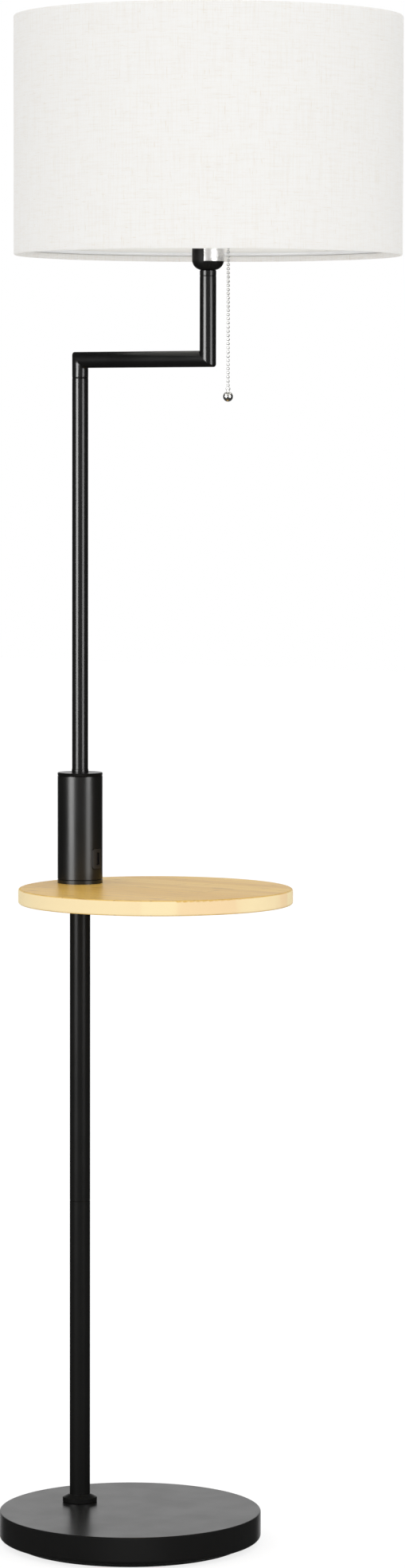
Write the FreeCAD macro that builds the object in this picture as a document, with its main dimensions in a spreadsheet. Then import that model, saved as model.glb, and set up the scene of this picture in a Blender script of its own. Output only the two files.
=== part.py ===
# Floor lamp with a round side table, a power housing on the table, a swinging Z arm and a drum shade.
#
# Frame: the origin is the middle of the round base on the floor, +Z is up, and +X runs from the pole
# towards the middle of the table and the lamp head.  Every length is in millimetres.
import FreeCAD
import Part
import Sketcher
import math
import os

CROSS_AXIS, UP_AXIS = range(-1, -3, -1)  # a sketch's own two axes, as the sketcher numbers them
ORIGIN_POINT = CROSS_AXIS  # the axes' root point is the first axis's start
START, END, CENTRE = range(1, 4)  # an edge's points, as the sketcher numbers them
SNAP = 0.01  # how near an edge has to lie to count as the one looked for
SPARE = 5.0  # stock that stands beyond a cut's outline
SIDES = 8  # sides of a wire ring's section and of a chain bead

# alias, size, what it is
SIZES = [
    # base
    ("pad_radius", 115.0, "non-slip pad under the base"),
    ("pad_thickness", 5.0, "non-slip pad, and how far the cover stands off the floor"),
    ("base_radius", 130.0, "steel cover of the base"),
    ("cover_height", 27.0, "steel cover, lower edge to top face"),
    ("cover_wall", 1.2, "sheet of the steel cover"),
    ("cover_top_round", 1.5, "top edge of the cover"),
    ("cover_foot_round", 3.5, "rolled lower edge of the cover"),
    ("cover_lip", 7.0, "turned-in lower lip of the cover"),
    ("pad_hole_margin", 2.0, "pad's hole beyond the nut well, all round"),
    ("nut_well_radius", 18.0, "well in the weight for the nut and washer"),
    ("nut_well_depth", 14.0, "the same well, up from the weight's underside"),
    ("outlet_height", 10.0, "cover's lower edge up to the middle of the cord bushing"),
    ("cord_bore", 6.5, "hole through the cord bushing"),
    ("bushing_diameter", 9.6, "cord bushing where it passes the cover"),
    ("bushing_flange", 13.0, "cord bushing's outer flange"),
    ("bushing_flange_thickness", 1.6, "the same flange"),
    ("bushing_length", 9.0, "cord bushing without its flange"),
    ("pole_offset", 64.0, "middle of the base to the pole's axis"),
    # threaded parts
    ("stem_diameter", 10.0, "hollow threaded stems"),
    ("stem_bore", 6.8, "lead passage through the hollow stems"),
    ("nut_flats", 17.0, "hex nut across its flats"),
    ("nut_height", 8.0, "hex nut"),
    ("washer_diameter", 32.0, "washer under the base"),
    ("washer_thickness", 2.0, "washers and flange"),
    ("fit", 0.05, "gap all round between pieces that are screwed or pressed together"),
    ("stem_gap", 0.3, "gap all round a stem where it passes a sheet or board"),
    ("loose_gap", 0.3, "gap between pieces that lie loose in or beside each other"),
    # collar at the pole's foot
    ("collar_diameter", 34.4, "collar at the pole's foot"),
    ("collar_band", 5.0, "straight side of the collar"),
    ("collar_height", 8.0, "collar, with its cone"),
    ("collar_lip", 0.8, "thickness of the collar at its top"),
    ("collar_edge", 0.6, "broken lower edge of the collar"),
    # poles
    ("lower_diameter", 20.4, "lower pole"),
    ("lower_wall", 1.2, "lower pole"),
    ("lower_section", 304.0, "lower pole, bottom section"),
    ("middle_section", 301.0, "lower pole, top section"),
    ("tube_edge", 0.4, "broken edge where two tubes meet"),
    ("coupler_length", 40.0, "insert that joins the two sections"),
    ("plug_length", 16.0, "threaded plug in a tube's end"),
    ("upper_diameter", 16.0, "upper pole and swing arm"),
    ("upper_wall", 1.0, "upper pole and swing arm"),
    ("upper_section", 386.0, "upper pole"),
    # table
    ("flange_diameter", 40.0, "steel flange under the table"),
    ("table_radius", 135.0, "table top"),
    ("table_thickness", 15.0, "table top"),
    ("table_edge_round", 2.2, "table top's two edges"),
    ("table_offset", 95.0, "pole's axis to the table's middle"),
    # power housing
    ("housing_diameter", 44.8, "power housing"),
    ("housing_wall", 1.8, "power housing's shell"),
    ("foot_ring_height", 4.0, "housing's foot ring that shows"),
    ("foot_recess", 0.8, "recess in the table top that the foot ring stands in"),
    ("housing_spigot", 6.0, "foot ring's step inside the shell"),
    ("shell_height", 103.0, "housing's shell"),
    ("cap_height", 3.0, "housing's cap that shows"),
    ("cap_spigot", 4.0, "cap's step inside the shell"),
    ("seam_edge", 0.5, "broken edges that draw the cap's and foot ring's seams"),
    ("clamp_ring_height", 3.5, "ring on top of the housing"),
    ("clamp_ring_rim", 0.3, "how far that ring stands out from the upper pole"),
    ("port_plate_width", 14.0, "USB face plate"),
    ("port_plate_height", 20.0, "USB face plate"),
    ("port_plate_round", 2.5, "USB face plate's corners"),
    ("port_plate_rise", 0.4, "how far the face plate stands proud of the shell"),
    ("port_gap", 0.35, "gap round the face plate"),
    ("port_centre", 21.0, "shell's lower edge to the middle of the port"),
    ("port_width", 5.1, "USB opening, across"),
    ("port_height", 12.5, "USB opening, up"),
    ("port_sheet", 0.3, "sheet of the USB metal shell"),
    ("port_setback", 0.6, "USB metal shell behind the face plate's outer face"),
    ("tongue_thickness", 1.9, "USB tongue"),
    ("tongue_height", 11.1, "USB tongue"),
    ("tongue_root", 5.0, "insulating block behind the USB tongue"),
    ("tongue_setback", 1.2, "USB tongue behind the port's mouth"),
    ("tongue_offset", 0.5, "USB tongue off the port's middle"),
    ("contact_width", 1.0, "USB contact strip"),
    ("contact_pitch", 2.2, "USB contact strips"),
    ("contact_thickness", 0.15, "USB contact strip"),
    ("contact_margin", 1.0, "USB tongue beyond the contact strips' ends"),
    ("contact_count", 4.0, "USB contact strips"),
    ("board_thickness", 1.6, "circuit board"),
    ("board_width", 26.0, "circuit board"),
    ("board_gap", 0.4, "circuit board off the core rod"),
    ("board_headroom", 11.0, "circuit board's top edge below the cap"),
    ("coil_width", 15.0, "transformer"),
    ("coil_depth", 8.5, "transformer"),
    ("coil_height", 17.0, "transformer"),
    ("coil_gap", 8.0, "transformer above the port"),
    ("capacitor_diameter", 8.0, "capacitors"),
    ("capacitor_length", 10.0, "capacitors"),
    ("capacitor_pitch", 10.5, "capacitors"),
    ("capacitor_gap", 6.0, "capacitors above the transformer"),
    # swivel
    ("swivel_washer_thickness", 0.8, "washer that shows as the seam under the arm"),
    ("swivel_washer_inset", 0.25, "how far that washer lies in from the tubes' faces"),
    ("swivel_gap", 0.2, "gap over the washer, so that the arm turns"),
    ("pivot_diameter", 9.0, "pivot pin"),
    ("pivot_bore", 5.5, "lead passage through the pivot pin"),
    ("pivot_gap", 0.06, "running gap all round the pivot pin"),
    ("bush_length", 24.0, "swivel bush"),
    ("pivot_head", 6.0, "pivot pin's head inside the arm"),
    ("pivot_tail", 1.0, "pivot pin below the retaining ring"),
    ("clip_diameter", 11.6, "retaining ring on the pivot pin"),
    ("clip_thickness", 1.0, "retaining ring on the pivot pin"),
    ("clip_groove", 0.7, "depth of the retaining ring's groove"),
    ("clip_gap", 0.3, "retaining ring below the bush"),
    # swing arm
    ("arm_drop", 17.0, "arm's lower end up to its middle line"),
    ("arm_reach", 158.0, "pole's axis to the lamp head's axis"),
    ("stub_rise", 79.6, "arm's middle line up to the stub's top"),
    ("neck_height", 5.8, "ring between the stub and the cup"),
    ("neck_edge", 0.6, "broken edges of that ring"),
    ("nipple_reach", 12.0, "how far the hollow nipple reaches into the stub"),
    ("nipple_stand", 3.0, "how far it stands above the cup's floor"),
    # lamp holder
    ("cup_diameter", 31.0, "lamp holder's cup"),
    ("cup_wall", 1.0, "lamp holder's cup"),
    ("cup_height", 46.0, "lamp holder's cup"),
    ("cup_round", 10.0, "bowl of the cup"),
    ("foil_thickness", 0.2, "blank foil patch on the cup"),
    ("foil_height", 15.0, "blank foil patch on the cup"),
    ("foil_base", 8.5, "cup's underside up to the foil patch"),
    ("foil_start", -68.0, "angle from +X where the foil patch starts, degrees"),
    ("foil_sweep", 106.0, "angle that the foil patch goes round, degrees"),
    ("switch_height", 20.0, "pull switch in the cup"),
    ("switch_diameter", 25.0, "pull switch in the cup"),
    ("guide_height", 33.0, "cup's underside up to the chain guide's axis"),
    ("guide_reach", 24.5, "lamp head's axis to the hanging chain"),
    ("guide_outer", 5.6, "chain guide's tube"),
    ("guide_bore", 4.2, "chain guide's tube"),
    ("guide_bend", 5.0, "chain guide's bend, on its middle line"),
    ("guide_mouth", 8.4, "chain guide's flared mouth"),
    ("guide_mouth_height", 3.0, "chain guide's flare"),
    ("shoulder_diameter", 40.0, "insulating body's shoulder"),
    ("shoulder_height", 4.0, "insulating body's shoulder"),
    ("barrel_diameter", 35.0, "insulating body's threaded barrel"),
    ("barrel_height", 31.0, "insulating body's threaded barrel"),
    ("body_spigot", 8.0, "insulating body's step inside the cup"),
    ("bulb_bore", 26.7, "threaded shell's clear bore"),
    ("bulb_shell_wall", 0.5, "threaded shell"),
    ("bulb_shell_length", 25.0, "threaded shell"),
    ("contact_height", 2.5, "centre contact"),
    ("contact_diameter", 8.0, "centre contact"),
    ("clamp_diameter", 48.0, "shade clamp ring"),
    ("clamp_height", 6.0, "shade clamp ring"),
    ("clamp_edge", 1.0, "broken edges of the shade clamp ring"),
    # shade
    ("shade_radius", 188.0, "shade, outside"),
    ("shade_height", 229.0, "shade, rim to rim"),
    ("shade_drop", 35.9, "shade's lower rim below the fitter ring"),
    ("cloth_thickness", 0.6, "shade's cloth"),
    ("liner_thickness", 0.5, "shade's stiff liner"),
    ("cloth_gap", 0.5, "gap between the liner and the cloth and hems round it"),
    ("shade_ring_wire", 3.2, "wire of the shade's two rings"),
    ("spoke_wire", 3.2, "wire of the three spokes"),
    ("spoke_bend", 9.0, "spokes' bend, on the wire's middle line"),
    ("spoke_turn", 68.0, "angle of the first spoke from +X, degrees"),
    ("spoke_count", 3.0, "spokes"),
    ("hem_height", 5.6, "turned-in hems of the cloth"),
    ("rim_edge", 0.6, "broken outer edges of the cloth's rims"),
    ("fitter_rim", 3.8, "fitter ring beyond the body's shoulder"),
    ("fitter_thickness", 1.6, "fitter ring"),
    # pull chain
    ("bead_diameter", 3.2, "chain beads"),
    ("bead_pitch", 4.0, "chain beads, from one to the next"),
    ("bead_taper", 26.0, "slope of a bead's two ends, degrees"),
    ("link_wire", 1.0, "wire between the beads"),
    ("lead_beads", 2.0, "beads inside the guide"),
    ("bead_count", 34.0, "beads that hang below the guide's mouth"),
    ("chain_joint", 0.3, "play between the guide's beads and the hanging ones"),
    ("ball_diameter", 9.8, "ball at the chain's end"),
    ("ferrule_diameter", 4.4, "ferrule on top of the ball"),
    ("ferrule_height", 4.0, "ferrule on top of the ball"),
    ("ferrule_band", 2.0, "straight part of the ferrule"),
    ("ferrule_tip", 3.0, "ferrule where it meets the ball"),
]

doc = FreeCAD.newDocument("FloorLamp")
nodes = []


class Size:
    """A length as a number, with the sheet formula that it follows."""

    def __init__(self, value, formula):
        self.value = float(value)
        self.formula = formula

    def __add__(self, other):
        other = as_size(other)
        return Size(self.value + other.value, f"({self.formula} + {other.formula})")

    def __sub__(self, other):
        other = as_size(other)
        return Size(self.value - other.value, f"({self.formula} - {other.formula})")

    def __mul__(self, factor):
        factor = as_size(factor)
        return Size(self.value * factor.value, f"({self.formula} * {factor.formula})")

    def __truediv__(self, divisor):
        return Size(self.value / divisor, f"({self.formula} / {divisor})")

    def __neg__(self):
        return Size(-self.value, f"(0 - {self.formula})")

    def __float__(self):
        return self.value


def as_size(item):
    return item if isinstance(item, Size) else Size(item, f"({float(item)})")


def fill_sheet():
    """Puts every driving size into the sheet and returns them by name."""
    sheet = doc.addObject("Spreadsheet::Sheet", "Dims")
    sizes = {}
    for row, (alias, value, meaning) in enumerate(SIZES, start=1):
        sheet.set(f"A{row}", alias)
        sheet.set(f"B{row}", str(value))
        sheet.set(f"C{row}", meaning)
        sheet.setAlias(f"B{row}", alias)
        sizes[alias] = Size(value, f"Dims.{alias}")
    doc.recompute()
    return sizes


class Named:
    """The driving sizes as attributes."""

    def __init__(self, sizes):
        self.__dict__.update(sizes)


d = Named(fill_sheet())

# ---------------------------------------------------------------- shared building steps


def bind(item, prop, size):
    item.setExpression(prop, as_size(size).formula)


def place(item, x=0, y=0, z=0):
    for axis, size in (("x", x), ("y", y), ("z", z)):
        bind(item, f"Placement.Base.{axis}", size)


def keep(item, label):
    """Names a finished sub-part and lists it for writing."""
    item.Label = label
    nodes.append(item)
    return item


def new_body(label, x=0, y=0, z=0):
    body = doc.addObject("PartDesign::Body", label)
    place(body, x, y, z)
    return keep(body, label)


def flat_sketch(body, plane, name):
    sketch = body.newObject("Sketcher::SketchObject", name)
    origin = [f for f in body.Origin.OriginFeatures if f.Role == plane][0]
    sketch.AttachmentSupport = [(origin, "")]
    sketch.MapMode = "FlatFace"
    return sketch


def pin_point(sketch, geometry, point, across, up):
    """Ties a point of a sketch to two sizes, counted from the sketch's root point."""
    for axis, kind, size in ((UP_AXIS, "DistanceX", across), (CROSS_AXIS, "DistanceY", up)):
        if not isinstance(size, Size) and size == 0:
            sketch.addConstraint(Sketcher.Constraint("PointOnObject", geometry, point, axis))
            continue
        size = as_size(size)
        spot = sketch.addConstraint(
            Sketcher.Constraint(kind, ORIGIN_POINT, START, geometry, point, size.value))
        bind(sketch, f"Constraints[{spot}]", size)


def draw_chain(sketch, corners, closed):
    """Straight lines from corner to corner, each corner tied to its sizes."""
    first = sketch.GeometryCount
    spots = [FreeCAD.Vector(float(across), float(up), 0) for across, up in corners]
    count = len(spots) if closed else len(spots) - 1
    for i in range(count):
        sketch.addGeometry(Part.LineSegment(spots[i], spots[(i + 1) % len(spots)]), False)
    joints = count if closed else count - 1
    for i in range(joints):
        after = first + (i + 1) % count
        sketch.addConstraint(Sketcher.Constraint("Coincident", first + i, END, after, START))
    for i in range(count):
        pin_point(sketch, first + i, START, *corners[i])
    if not closed:
        pin_point(sketch, first + count - 1, END, *corners[-1])


def draw_circle(sketch, radius, across=0, up=0):
    middle = FreeCAD.Vector(float(across), float(up), 0)
    spot = sketch.addGeometry(Part.Circle(middle, FreeCAD.Vector(0, 0, 1), float(radius)), False)
    pin_point(sketch, spot, CENTRE, across, up)
    size = sketch.addConstraint(Sketcher.Constraint("Radius", spot, float(radius)))
    bind(sketch, f"Constraints[{size}]", radius)


def draw_box(sketch, low_across, high_across, low_up, high_up):
    draw_chain(sketch, [(low_across, low_up), (high_across, low_up),
                        (high_across, high_up), (low_across, high_up)], True)


def pad(body, sketch, length, name="Pad"):
    step = body.newObject("PartDesign::Pad", name)
    step.Profile = sketch
    bind(step, "Length", length)
    doc.recompute()
    return step


def cut(body, sketch, depth=None, upward=False, name="Pocket"):
    """Takes the sketch's area out of the body, right through or to a depth."""
    before = body.Tip.Shape.Volume
    step = body.newObject("PartDesign::Pocket", name)
    step.Profile = sketch
    if depth is None:
        step.Type = "ThroughAll"
        step.Midplane = True
    else:
        bind(step, "Length", depth)
        step.Reversed = upward
    doc.recompute()
    if step.Shape.Volume > before - SNAP:
        raise RuntimeError(f"{body.Label}: {name} takes nothing away")
    return step


def turn(body, corners, name="Turned"):
    """Spins a closed outline of (radius, height) corners about the body's upright axis."""
    sketch = flat_sketch(body, "XZ_Plane", name + "Outline")
    draw_chain(sketch, corners, True)
    step = body.newObject("PartDesign::Revolution", name)
    step.Profile = sketch
    step.ReferenceAxis = (sketch, ["V_Axis"])
    step.Angle = 360
    doc.recompute()
    return step


def polygon(radius, middle=0):
    """Corners of an even-sided outline round a middle that lies on the sketch's first axis."""
    corners = []
    for i in range(SIDES):
        angle = 2 * math.pi * (i + 0.5) / SIDES
        corners.append((radius * math.cos(angle) + middle, radius * math.sin(angle)))
    return corners


def ring_edges(step, rings):
    """Names of the step's round edges that lie at the given (radius, height) pairs."""
    found = []
    for number, edge in enumerate(step.Shape.Edges, start=1):
        curve = edge.Curve
        if not isinstance(curve, Part.Circle):
            continue
        for radius, height in rings:
            near = abs(curve.Radius - float(radius)) < SNAP
            if near and abs(curve.Center.z - float(height)) < SNAP:
                found.append(f"Edge{number}")
    if not found:
        raise RuntimeError(f"{step.Label}: no edge at {[(float(a), float(b)) for a, b in rings]}")
    return found


def dress(body, kind, edges, size, name):
    """Rounds or breaks edges of the body's last step."""
    base = body.Tip
    step = body.newObject(f"PartDesign::{kind}", name)
    step.Base = (base, edges)
    bind(step, "Radius" if kind == "Fillet" else "Size", size)
    doc.recompute()
    return step


def round_rings(body, rings, size, name="Round"):
    return dress(body, "Fillet", ring_edges(body.Tip, rings), size, name)


def break_rings(body, rings, size, name="Break"):
    return dress(body, "Chamfer", ring_edges(body.Tip, rings), size, name)


def tube(label, outer, inner, length, x=0, y=0, z=0):
    """A straight upright tube; outer and inner are radii."""
    body = new_body(label, x, y, z)
    sketch = flat_sketch(body, "XY_Plane", "Ring")
    draw_circle(sketch, outer)
    draw_circle(sketch, inner)
    pad(body, sketch, length)
    return body


def turned(label, corners, x=0, y=0, z=0):
    body = new_body(label, x, y, z)
    turn(body, corners)
    return body


def block(name, length, width, height, x=0, y=0, z=0):
    """A box centred on Y; x is its low face and z its underside."""
    item = doc.addObject("Part::Box", name)
    bind(item, "Length", length)
    bind(item, "Width", width)
    bind(item, "Height", height)
    place(item, x, as_size(y) - as_size(width) / 2, z)
    return item


def rod(name, radius, height, x=0, y=0, z=0):
    item = doc.addObject("Part::Cylinder", name)
    bind(item, "Radius", radius)
    bind(item, "Height", height)
    place(item, x, y, z)
    return item


def boolean(kind, label, base, tool, listed=True):
    item = doc.addObject(f"Part::{kind}", label)
    item.Base = base
    item.Tool = tool
    doc.recompute()
    return keep(item, label) if listed else item


def multi(kind, label, shapes, listed=True):
    item = doc.addObject(f"Part::{kind}", label)
    item.Shapes = shapes
    doc.recompute()
    return keep(item, label) if listed else item


# ---------------------------------------------------------------- heights and radii that pieces share

pole_x = -d.pole_offset
head_x = pole_x + d.arm_reach
table_x = pole_x + d.table_offset

cover_foot = d.pad_thickness
cover_top = cover_foot + d.cover_height
weight_top = cover_top - d.cover_wall
joint_z = cover_top + d.lower_section
flange_z = joint_z + d.middle_section
table_foot = flange_z + d.washer_thickness
table_top_z = table_foot + d.table_thickness
shell_foot = table_top_z + d.foot_ring_height
shell_top = shell_foot + d.shell_height
cap_top = shell_top + d.cap_height
upper_foot = cap_top + d.clamp_ring_height
upper_top = upper_foot + d.upper_section
arm_foot = upper_top + d.swivel_washer_thickness + d.swivel_gap
arm_z = arm_foot + d.arm_drop
stub_top = arm_z + d.stub_rise
cup_foot = stub_top + d.neck_height
cup_top = cup_foot + d.cup_height
shoulder_top = cup_top + d.shoulder_height
fitter_top = shoulder_top + d.fitter_thickness
shade_foot = shoulder_top - d.shade_drop
shade_top = shade_foot + d.shade_height

lower_r = d.lower_diameter / 2
lower_in = lower_r - d.lower_wall
upper_r = d.upper_diameter / 2
upper_in = upper_r - d.upper_wall
stem_r = d.stem_diameter / 2
stem_in = d.stem_bore / 2
housing_r = d.housing_diameter / 2
housing_in = housing_r - d.housing_wall

# ---------------------------------------------------------------- base


def base_pad():
    body = new_body("base_pad")
    disc = flat_sketch(body, "XY_Plane", "Disc")
    draw_circle(disc, d.pad_radius)
    draw_circle(disc, d.nut_well_radius + d.pad_hole_margin, pole_x)
    pad(body, disc, d.pad_thickness)


def base_weight():
    """Cast disc with a step over the cover's lip, a well for the nut and a channel for the cord."""
    r = d.base_radius - d.cover_wall - d.loose_gap
    lip = d.base_radius - d.cover_lip - d.loose_gap
    step = d.cover_wall + d.loose_gap
    corner = d.cover_foot_round - d.cover_wall
    high = d.cover_height - d.cover_wall
    body = turned("base_weight", [
        (0, 0), (lip, 0), (lip, step), (r - corner, step), (r, step + corner), (r, high),
        (0, high)], z=cover_foot)
    stem = flat_sketch(body, "XY_Plane", "StemHole")
    draw_circle(stem, stem_r + d.stem_gap, pole_x)
    cut(body, stem)
    well = flat_sketch(body, "XY_Plane", "NutWell")
    draw_circle(well, d.nut_well_radius, pole_x)
    cut(body, well, d.nut_well_depth, upward=True, name="Well")
    channel = flat_sketch(body, "XY_Plane", "CordChannel")
    half = d.bushing_diameter / 2 + d.loose_gap
    draw_box(channel, -d.base_radius, pole_x, -half, half)
    cut(body, channel, d.outlet_height + half, upward=True, name="Channel")


def base_cover():
    """Pressed steel cover: a shallow drum with a rolled, turned-in lower edge."""
    r, wall, high = d.base_radius, d.cover_wall, d.cover_height
    lip = r - d.cover_lip
    body = turned("base_cover", [
        (0, high), (r, high), (r, 0), (lip, 0), (lip, wall),
        (r - wall, wall), (r - wall, high - wall), (0, high - wall)], z=cover_foot)
    break_rings(body, [(r - wall, wall)], d.cover_foot_round - wall, "FootInside")
    round_rings(body, [(r, 0)], d.cover_foot_round, "Foot")
    round_rings(body, [(r, high)], d.cover_top_round, "TopEdge")
    stem = flat_sketch(body, "XY_Plane", "StemHole")
    draw_circle(stem, stem_r + d.stem_gap, pole_x)
    cut(body, stem)
    outlet = flat_sketch(body, "YZ_Plane", "CordHole")
    draw_circle(outlet, d.bushing_diameter / 2 + d.fit, 0, d.outlet_height)
    cut(body, outlet, d.base_radius + d.bushing_length, name="Outlet")


def cord_bushing():
    """Moulded bushing in the cover's side, its bore open for a cord."""
    flange_r = d.bushing_flange / 2
    neck_r = d.bushing_diameter / 2
    bore = d.cord_bore / 2
    thick = d.bushing_flange_thickness
    end = thick + d.bushing_length
    body = turned("cord_bushing", [
        (bore, 0), (flange_r, 0), (flange_r, thick), (neck_r, thick), (neck_r, end), (bore, end)])
    break_rings(body, [(flange_r, 0)], thick / 2, "Rim")
    place(body, -d.base_radius - d.fit - thick, 0, cover_foot + d.outlet_height)
    body.Placement.Rotation = FreeCAD.Rotation(FreeCAD.Vector(0, 1, 0), 90)


def base_fixing():
    """Hollow stem with its washer and nut, up through the weight into the pole's foot."""
    well_top = cover_foot + d.nut_well_depth
    nut_z = well_top - d.washer_thickness - d.nut_height
    tube("base_stem", stem_r, stem_in, cover_top + d.plug_length - nut_z, pole_x, 0, nut_z)
    tube("base_washer", d.washer_diameter / 2, stem_r + d.fit, d.washer_thickness,
         pole_x, 0, well_top - d.washer_thickness)
    hexagon = doc.addObject("Part::Prism", "NutHexagon")
    hexagon.Polygon = 6
    bind(hexagon, "Circumradius", d.nut_flats / math.sqrt(3))
    bind(hexagon, "Height", d.nut_height)
    place(hexagon, pole_x, 0, nut_z)
    hole = rod("NutHole", stem_r + d.fit, d.nut_height, pole_x, 0, nut_z)
    boolean("Cut", "base_nut", hexagon, hole)


def base_collar():
    r, bore = d.collar_diameter / 2, lower_r + d.fit
    body = turned("base_collar", [
        (bore, 0), (r, 0), (r, d.collar_band), (bore + d.collar_lip, d.collar_height),
        (bore, d.collar_height)], pole_x, 0, cover_top)
    break_rings(body, [(r, 0)], d.collar_edge)


# ---------------------------------------------------------------- lower pole


def plug(label, bore_of_tube, x, z):
    """Threaded plug that fills a tube's end and takes a hollow stem."""
    return tube(label, bore_of_tube - d.fit, stem_r + d.fit, d.plug_length, x, 0, z)


def lower_pole():
    plug("pole_foot_plug", lower_in, pole_x, cover_top)
    bottom = tube("lower_pole_bottom", lower_r, lower_in, d.lower_section, pole_x, 0, cover_top)
    break_rings(bottom, [(lower_r, d.lower_section)], d.tube_edge)
    top = tube("lower_pole_top", lower_r, lower_in, d.middle_section, pole_x, 0, joint_z)
    break_rings(top, [(lower_r, 0)], d.tube_edge)
    tube("pole_coupler", lower_in - d.fit, stem_r, d.coupler_length,
         pole_x, 0, joint_z - d.coupler_length / 2)
    plug("pole_top_plug", lower_in, pole_x, flange_z - d.plug_length)


# ---------------------------------------------------------------- table


def table():
    tube("table_flange", d.flange_diameter / 2, stem_r + d.fit, d.washer_thickness,
         pole_x, 0, flange_z)
    body = new_body("table_top", table_x, 0, table_foot)
    disc = flat_sketch(body, "XY_Plane", "Disc")
    draw_circle(disc, d.table_radius)
    draw_circle(disc, stem_r + d.stem_gap, -d.table_offset)
    pad(body, disc, d.table_thickness)
    recess = flat_sketch(body, "XY_Plane", "FootRecess")
    draw_circle(recess, housing_r + d.fit, -d.table_offset)
    bind(recess, "AttachmentOffset.Base.z", d.table_thickness)
    cut(body, recess, d.foot_recess, name="Recess")
    round_rings(body, [(d.table_radius, 0), (d.table_radius, d.table_thickness)],
                d.table_edge_round)


# ---------------------------------------------------------------- power housing


def housing():
    spigot_r = housing_in - d.fit
    foot = turned("housing_foot", [
        (stem_r + d.stem_gap, -d.foot_recess), (housing_r, -d.foot_recess),
        (housing_r, d.foot_ring_height),
        (spigot_r, d.foot_ring_height), (spigot_r, d.foot_ring_height + d.housing_spigot),
        (stem_r + d.stem_gap, d.foot_ring_height + d.housing_spigot)], pole_x, 0, table_top_z)
    break_rings(foot, [(housing_r, d.foot_ring_height)], d.seam_edge)
    cap = turned("housing_cap", [
        (stem_r + d.stem_gap, -d.cap_spigot), (spigot_r, -d.cap_spigot), (spigot_r, 0),
        (housing_r, 0), (housing_r, d.cap_height), (stem_r + d.stem_gap, d.cap_height)],
        pole_x, 0, shell_top)
    break_rings(cap, [(housing_r, 0), (housing_r, d.cap_height)], d.seam_edge)
    shell = tube("housing_shell", housing_r, housing_in, d.shell_height, pole_x, 0, shell_foot)
    break_rings(shell, [(housing_r, 0), (housing_r, d.shell_height)], d.seam_edge)
    window = flat_sketch(shell, "YZ_Plane", "Window")
    half_w = d.port_plate_width / 2 + d.port_gap
    half_h = d.port_plate_height / 2 + d.port_gap
    draw_box(window, -half_w, half_w, d.port_centre - half_h, d.port_centre + half_h)
    cut(shell, window, d.housing_diameter, upward=True, name="WindowCut")
    corners = upright_corners(shell.Tip, d.port_plate_width / 2 + d.port_gap)
    dress(shell, "Fillet", corners, d.port_plate_round, "WindowCorners")


def upright_corners(step, half_width):
    """Edges of the shell's window that run through its wall, at its four corners."""
    found = []
    for number, edge in enumerate(step.Shape.Edges, start=1):
        box = edge.BoundBox
        through = box.XLength > float(d.housing_wall) / 2 and box.YLength < SNAP
        if through and box.ZLength < SNAP and abs(abs(box.YMin) - float(half_width)) < SNAP:
            found.append(f"Edge{number}")
    if len(found) != 4:
        raise RuntimeError(f"the window has {len(found)} corner edges")
    return found


port_z = shell_foot + d.port_centre
plate_face = housing_r + d.port_plate_rise
board_face = pole_x + stem_r + d.board_gap + d.board_thickness


def usb_plate():
    """Curved face plate in the shell's window, with the port's slot through it."""
    body = new_body("usb_plate", pole_x, 0, port_z)
    front = flat_sketch(body, "YZ_Plane", "Front")
    half_w, half_h = d.port_plate_width / 2, d.port_plate_height / 2
    draw_box(front, -half_w, half_w, -half_h, half_h)
    pad(body, front, plate_face + SPARE)
    dress(body, "Fillet", long_edges(body.Tip), d.port_plate_round, "Corners")
    shape = flat_sketch(body, "XY_Plane", "Outside")
    draw_circle(shape, plate_face + SPARE * 2)
    draw_circle(shape, plate_face)
    cut(body, shape, name="CurvedFace")
    inside = flat_sketch(body, "XY_Plane", "Inside")
    draw_circle(inside, housing_in)
    cut(body, inside, name="Hollow")
    slot = flat_sketch(body, "YZ_Plane", "Slot")
    half_w, half_h = d.port_width / 2 + d.fit, d.port_height / 2 + d.fit
    draw_box(slot, -half_w, half_w, -half_h, half_h)
    cut(body, slot, d.housing_diameter, upward=True, name="PortSlot")


def long_edges(step):
    """The block's four edges that run from the axis outwards."""
    return [f"Edge{n}" for n, edge in enumerate(step.Shape.Edges, start=1)
            if edge.BoundBox.YLength < SNAP and edge.BoundBox.ZLength < SNAP]


def usb_port():
    """Sheet-metal port from the board to the face plate, with its tongue and contact strips."""
    front_x = pole_x + plate_face - d.port_setback
    depth = front_x - board_face
    sheet = d.port_sheet
    low = port_z - d.port_height / 2
    outer = block("PortOutside", depth, d.port_width, d.port_height, board_face, 0, low)
    inner = block("PortInside", depth, d.port_width - sheet * 2, d.port_height - sheet * 2,
                  board_face + sheet, 0, low + sheet)
    boolean("Cut", "usb_shell", outer, inner)
    root_x = board_face + sheet
    blade_x = root_x + d.tongue_root
    blade_length = depth - sheet - d.tongue_root - d.tongue_setback
    root = block("TongueRoot", d.tongue_root,
                 d.port_width - sheet * 2 - d.fit * 2, d.port_height - sheet * 2 - d.fit * 2,
                 root_x, 0, low + sheet + d.fit)
    blade = block("TongueBlade", blade_length, d.tongue_thickness, d.tongue_height,
                  blade_x, d.tongue_offset, port_z - d.tongue_height / 2)
    multi("MultiFuse", "usb_tongue", [root, blade])
    strips = []
    strip_y = d.tongue_offset - d.tongue_thickness / 2 - d.contact_thickness / 2
    count = int(float(d.contact_count))
    for i in range(count):
        middle = port_z + d.contact_pitch * (i - (count - 1) / 2)
        strips.append(block(
            f"Strip{i}", blade_length - d.contact_margin * 2, d.contact_thickness,
            d.contact_width, blade_x + d.contact_margin, strip_y, middle - d.contact_width / 2))
    multi("MultiFuse", "usb_contacts", strips)


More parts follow.
